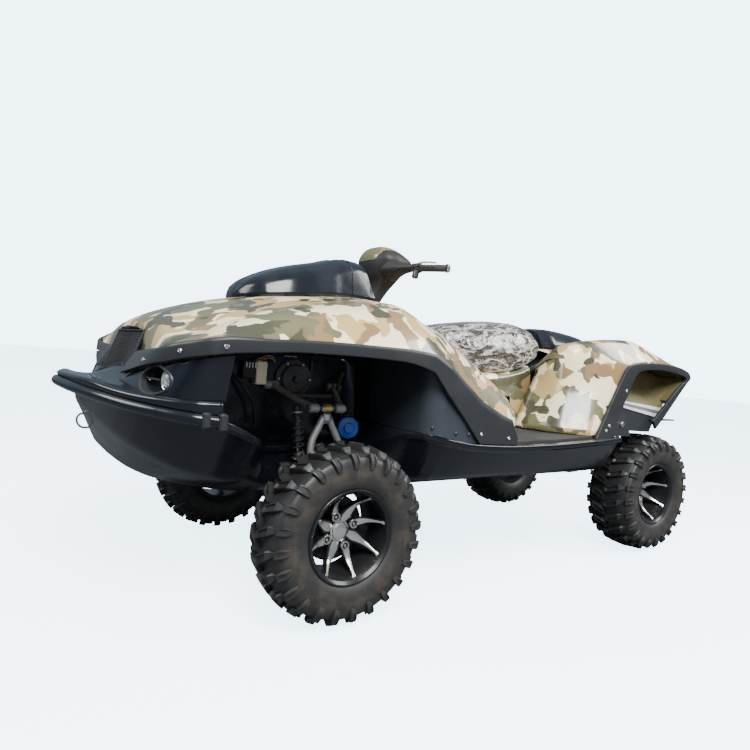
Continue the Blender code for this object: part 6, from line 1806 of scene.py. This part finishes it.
def make_wheel_well():
    """Tower between the front wheels, and what stands on it: boxes, wires, a bolted housing and a motor."""
    # x, top z, half width at the top
    table = (
        (0.47, 0.9, 0.21), (0.56, 0.93, 0.24), (0.93, 0.93, 0.24), (1.08, 0.905, 0.22), (1.2, 0.845, 0.2)
    )
    x = stations(table, 30)
    top, half = smooth_read(table, x).T
    low = hull_top(x) + CLEAR
    tower = Piece("tower_skin")
    shape = rows_of((x, 0.0, low), (x, 0.24, low), (x, half, top), (x, 0.0, top))
    tower.body(whole_ring(filled(rounded(shape, (0, 0.002, 0.02, 0), 6), 1)), "gloss_black")
    tower.make(replaces=["front_frame"], slot="satin_black")

    well = Piece("well_fittings_left")
    well.box((0.931, 0.262, 0.845), (0.044, 0.044, 0.09), "case_beige", rim=0.004)
    well.box((0.974, 0.256, 0.854), (0.06, 0.04, 0.068), "dark_plastic", rim=0.004)
    for k in range(4):
        well.box((0.956 + 0.012 * k, 0.278, 0.872), (0.007, 0.006, 0.022), "bright_steel", rim=0.001)
    for k in range(5):
        sag = 0.004 * k
        path = curve(
            [
                (0.868, 0.262, 0.9 - sag), (0.895, 0.272, 0.915 - sag), (0.93, 0.27, 0.905 - sag),
                (0.96, 0.262, 0.89)
            ],
            30
        )
        well.tube(path, 0.0022, "copper" if k % 2 else "dark_plastic", 8)
    at = np.array((0.78, 0.24, 0.826))
    housing = [(0.0, 0.03), (0.03, 0.029), (0.052, 0.024), (0.06, 0.014), (0.077, 0.011), (0.078, 0.0)]
    well.turned(housing + [(0.0, 0.0)], at, LEFT, "dark_steel", 40)
    boss = [(0.0, 0.044), (0.01, 0.044), (0.013, 0.04), (0.014, 0.026), (0.0, 0.026)]
    well.turned(boss, at, LEFT, "dark_steel", 32)
    for turn in np.arange(6) * pi / 3:
        spot = at + np.array((0.068 * cos(turn), 0.012, 0.068 * sin(turn)))
        well.rod(spot, spot + LEFT * 0.01, 0.0045, "bright_steel", 6)
    motor = [
        (0.0, 0.04), (0.018, 0.04), (0.022, 0.034), (0.042, 0.03), (0.045, 0.024), (0.045, -0.11),
        (0.0, -0.11)
    ]
    at, way = (0.575, 0.345, 0.648), (0.25, 0.97, 0.0)
    well.turned(motor, at, way, "motor_blue", 40)
    strap = [(0.046, 0.016), (0.047, 0.02), (0.047, -0.01), (0.046, -0.014), (0.044, 0.0)]
    well.turned(strap, at, way, "dark_steel", 40, closed=True)
    well.box((0.806, 0.252, 0.915), (0.055, 0.03, 0.004), "bright_steel", rim=0.001)
    well.rod((0.703, 0.25, 0.81), (0.703, 0.25, 0.905), 0.0045, "dark_steel", 16, 0.001)
    # Hoses: radius, and their courses
    for radius, *course in (
        (0.0085, (0.56, 0.262, 0.86), (0.6, 0.3, 0.82), (0.61, 0.32, 0.76), (0.59, 0.33, 0.692)),
        (0.007, (1.05, 0.235, 0.85), (1.01, 0.29, 0.8), (0.96, 0.3, 0.72), (0.945, 0.29, 0.64)),
    ):
        well.tube(curve(course, 40), radius, "dark_plastic")
    both_hands(well)


def make_rear_suspension():
    """Trailing arms and coil dampers from their pivots' places."""
    x, y = REAR_X, 0.36
    arm = Piece("trailing_arm_left")
    arm.rod((x, y - 0.014, AXLE_Z), (x, y + 0.014, AXLE_Z), 0.05, "dark_steel", 48, 0.004)
    arm.rod((x, y, AXLE_Z), (x, 0.4826, AXLE_Z), 0.036, "dark_steel", 40, 0.003)
    for rise in (0.0, 0.035):
        arm.rod((x, y, AXLE_Z + rise), (-1.01, y, 0.54), 0.0135, "dark_steel", 24, 0.002)
    arm.rod((-1.01, 0.315, 0.54), (-1.01, y + 0.016, 0.54), 0.024, "dark_steel", 40, 0.003)
    both_hands(arm, replaces=["rear_arm_left"], slot="dark_steel")
    shock = Piece("rear_damper_left")
    top, foot = np.array((-1.15, 0.362, 0.87)), np.array((-1.205, 0.362, 0.4256))
    shock.rod(top, between(top, foot, 0.5), 0.01, "dark_steel", 32, 0.002)
    shock.rod(between(top, foot, 0.45), foot, 0.006, "bright_steel", 20, 0.001)
    shock.rod((top[0], 0.246, top[2]), (top[0], 0.366, top[2]), 0.012, "dark_steel", 24, 0.002)
    coil(shock, between(top, foot, 0.08), between(top, foot, 0.56), 0.0135, 0.0028, 9, "satin_black")
    both_hands(shock, replaces=["rear_shock_left"], slot="dark_steel")


def make_jet():
    """Steering nozzle, its mount, the reversing bucket raised over it and the impeller in its duct."""
    centre, along = np.array((0.0, 0.0, JET_Z)), np.array((1.0, 0.0, 0.0))
    front = TRANSOM_X - 0.012
    nozzle = Piece("nozzle_shape")
    wall = [(0.08, front), (0.08, -1.4), (0.077, -1.41), (0.061, -1.466), (0.06, -1.47)]
    wall += [(0.054, -1.47), (0.0535, -1.466), (0.07, -1.404), (0.072, -1.398), (0.072, front)]
    nozzle.turned(wall, centre, along, "jet_alloy", 64, closed=True)
    for x in (front - 0.012, -1.4):
        band = [(0.079, x - 0.004), (0.083, x - 0.003), (0.083, x + 0.003), (0.079, x + 0.004)]
        nozzle.turned(band, centre, along, "jet_alloy", 64, closed=True)
    for sign in (1, -1):
        low, high = ((NOZZLE_X, 0, JET_Z + reach * sign) for reach in (0.074, 0.098))
        nozzle.rod(low, high, 0.014, "jet_alloy", 32, 0.002)
        low, high = ((BUCKET_X, reach * sign, JET_Z) for reach in (0.0595, 0.09))
        nozzle.rod(low, high, 0.008, "bright_steel", 24, 0.001)
    nozzle.make("nozzle", ["jet_nozzle"], "jet_alloy")

    mount = Piece("mount_shape")
    lug = 0.0985
    mount.box((TRANSOM_X - 0.03515, 0, JET_Z + lug + 0.00675), (0.0697, 0.08, 0.0135), "jet_alloy", rim=0.003)
    mount.box((TRANSOM_X - 0.038, 0, JET_Z - lug - 0.00675), (0.064, 0.08, 0.0135), "jet_alloy", rim=0.003)
    back, face = TRANSOM_X - 0.0065, TRANSOM_X - CLEAR
    plate = [(0.12, back), (0.12, face), (0.0845, face), (0.0845, back)]
    mount.turned(plate, centre, along, "jet_alloy", 64, closed=True)
    for i in range(6):
        turn = 2 * pi * (i + 0.5) / 6
        at = centre + np.array((back, 0.104 * cos(turn), 0.104 * sin(turn)))
        screw(mount, at, (-1, 0, 0), 0.007, "bright_steel")
    mount.make(replaces=["jet_mount"], slot="jet_alloy")

    bucket = Piece("bucket_shape")
    pin = np.array((BUCKET_X, JET_Z))

    def arc(radius, low, high, count):
        turn = np.linspace(radians(low), radians(high), count)
        return stacked(BUCKET_X - radius * np.cos(turn), JET_Z + radius * np.sin(turn))

    outer, inner, eye = arc(0.105, 45, 115, 24), arc(0.098, 45, 115, 24), arc(0.017, 175, 345, 16)
    bucket.body(slab(np.concatenate([outer, inner[::-1]]), (-0.0855, 0.0855)), "jet_alloy")
    straight = [np.linspace(a, b, 20)[1:-1] for a, b in ((eye[-1], outer[0]), (outer[-1], eye[0]))]
    # The ears end just short of the shell, so that no faces lie on each other
    ear = pin + (np.concatenate([eye, straight[0], outer, straight[1]]) - pin) * 0.995
    hole = pin + unit(ear - pin) * 0.0083
    for low, high in ((0.078, 0.085), (-0.085, -0.078)):
        loops = ((hole, low), (ear, low), (ear, high), (hole, high))
        plate = [slab(loop, [y])[0] for loop, y in loops]
        bucket.body(plate, "jet_alloy", around=True)
    bucket.make("bucket", ["reverse_bucket"], "jet_alloy")

    impeller = Piece("impeller_shape")
    hub = [(0.0, -1.3), (0.006, -1.2995), (0.012, -1.296), (0.02, -1.275), (0.026, -1.24)]
    shaft_end = TRANSOM_X + 0.1597
    hub += [(0.026, -1.195), (0.01, -1.19), (0.01, shaft_end), (0.0, shaft_end)]
    impeller.turned(hub, centre, along, "bright_steel", 40)
    r = np.linspace(0.018, 0.068, 10)
    for i in range(3):
        base = 2 * pi * i / 3
        twist = 0.026 * np.interp(r, (0.018, 0.068), (0.5, 1.0))
        blade = []
        for chord in (-1.0, -0.4, 0.4, 1.0):
            thick = 0.003 * (1 - abs(chord) * 0.6)
            across = chord * twist
            side = r * cos(base) - across * sin(base)
            height = JET_Z + r * sin(base) + across * cos(base)
            line = stacked(-1.235 + 0.024 * chord + 0 * r, side, height)
            blade.append((line - along * thick, line + along * thick))
        ring = [low for low, _ in blade] + [high for _, high in blade[::-1]]
        impeller.body(np.stack(ring, axis=1), "bright_steel")
    impeller.make("impeller", ["impeller"], "bright_steel")


def make_studio():
    """Pale floor, soft lights, and the camera where the photo was taken."""
    floor = bpy.data.meshes.new("floor")
    reach = 40.0
    corners = [(reach * x, reach * y, 0) for x, y in ((-1, -1), (1, -1), (1, 1), (-1, 1))]
    floor.from_pydata(corners, [], [(0, 1, 2, 3)])
    floor.materials.append(finish_of("floor_pale"))
    item = shown("floor", floor)

    world = bpy.data.worlds.new("studio")
    bpy.context.scene.world = world
    world.use_nodes = True
    net = Net(world.node_tree)
    seen = net.put("LightPath").outputs["Is Camera Ray"]
    strength = net.step(seen, 0.0, 1.0, SKY_LIGHT, SKY_SEEN)
    backdrop = world.node_tree.nodes["Background"]
    backdrop.inputs["Color"].default_value = SKY
    net.join(strength, backdrop.inputs["Strength"])

    # Name, place, what it looks at, size, power
    for name, at, goal, size, power in (
        ("key", (2.0, 4.2, 4.8), (0.0, 0.0, 0.7), 3.0, 820.0),
        ("fill", (4.6, -1.0, 3.2), (0.0, 0.0, 0.7), 2.4, 160.0),
        ("back", (-3.5, 2.5, 3.8), (0.0, 0.0, 0.7), 2.4, 300.0),
        ("low", (1.2, 4.8, 0.8), (0.5, 0.3, 0.7), 3.0, 45.0),
        ("tail", (-0.6, 4.6, 0.7), (-1.2, 0.4, 0.9), 2.4, 25.0),
    ):
        data = bpy.data.lights.new(name, "AREA")
        data.energy = power
        data.size = size
        data.shape = "DISK"
        light = shown(name, data)
        light.location = at
        light.rotation_euler = (Vector(goal) - Vector(at)).to_track_quat("-Z", "Y").to_euler()
        light.visible_glossy = name not in ("low", "tail")

    yaw, pitch = CAMERA_YAW, CAMERA_PITCH
    ahead = Vector((-sin(yaw) * cos(pitch), -cos(yaw) * cos(pitch), sin(pitch)))
    right = Vector((-cos(yaw), sin(yaw), 0.0))
    over = right.cross(ahead)
    turned = right * cos(CAMERA_ROLL) + over * sin(CAMERA_ROLL)
    over = over * cos(CAMERA_ROLL) - right * sin(CAMERA_ROLL)
    camera = shown("camera", bpy.data.cameras.new("camera"))
    camera.data.lens = CAMERA_LENS
    camera.data.sensor_width = 36.0
    camera.matrix_world = Matrix((
        (turned.x, over.x, -ahead.x, CAMERA_AT.x),
        (turned.y, over.y, -ahead.y, CAMERA_AT.y),
        (turned.z, over.z, -ahead.z, CAMERA_AT.z),
        (0, 0, 0, 1),
    ))
    bpy.context.scene.camera = camera


make_grain()
make_marks()
make_camouflage()
make_hull()
make_bow()
make_hood()
make_fenders()
make_cheeks()
make_grille()
make_front_lid()
make_steering()
make_seat()
make_tunnel()
make_rear()
make_wheels()
make_front_suspension()
make_wheel_well()
make_rear_suspension()
make_jet()
make_studio()
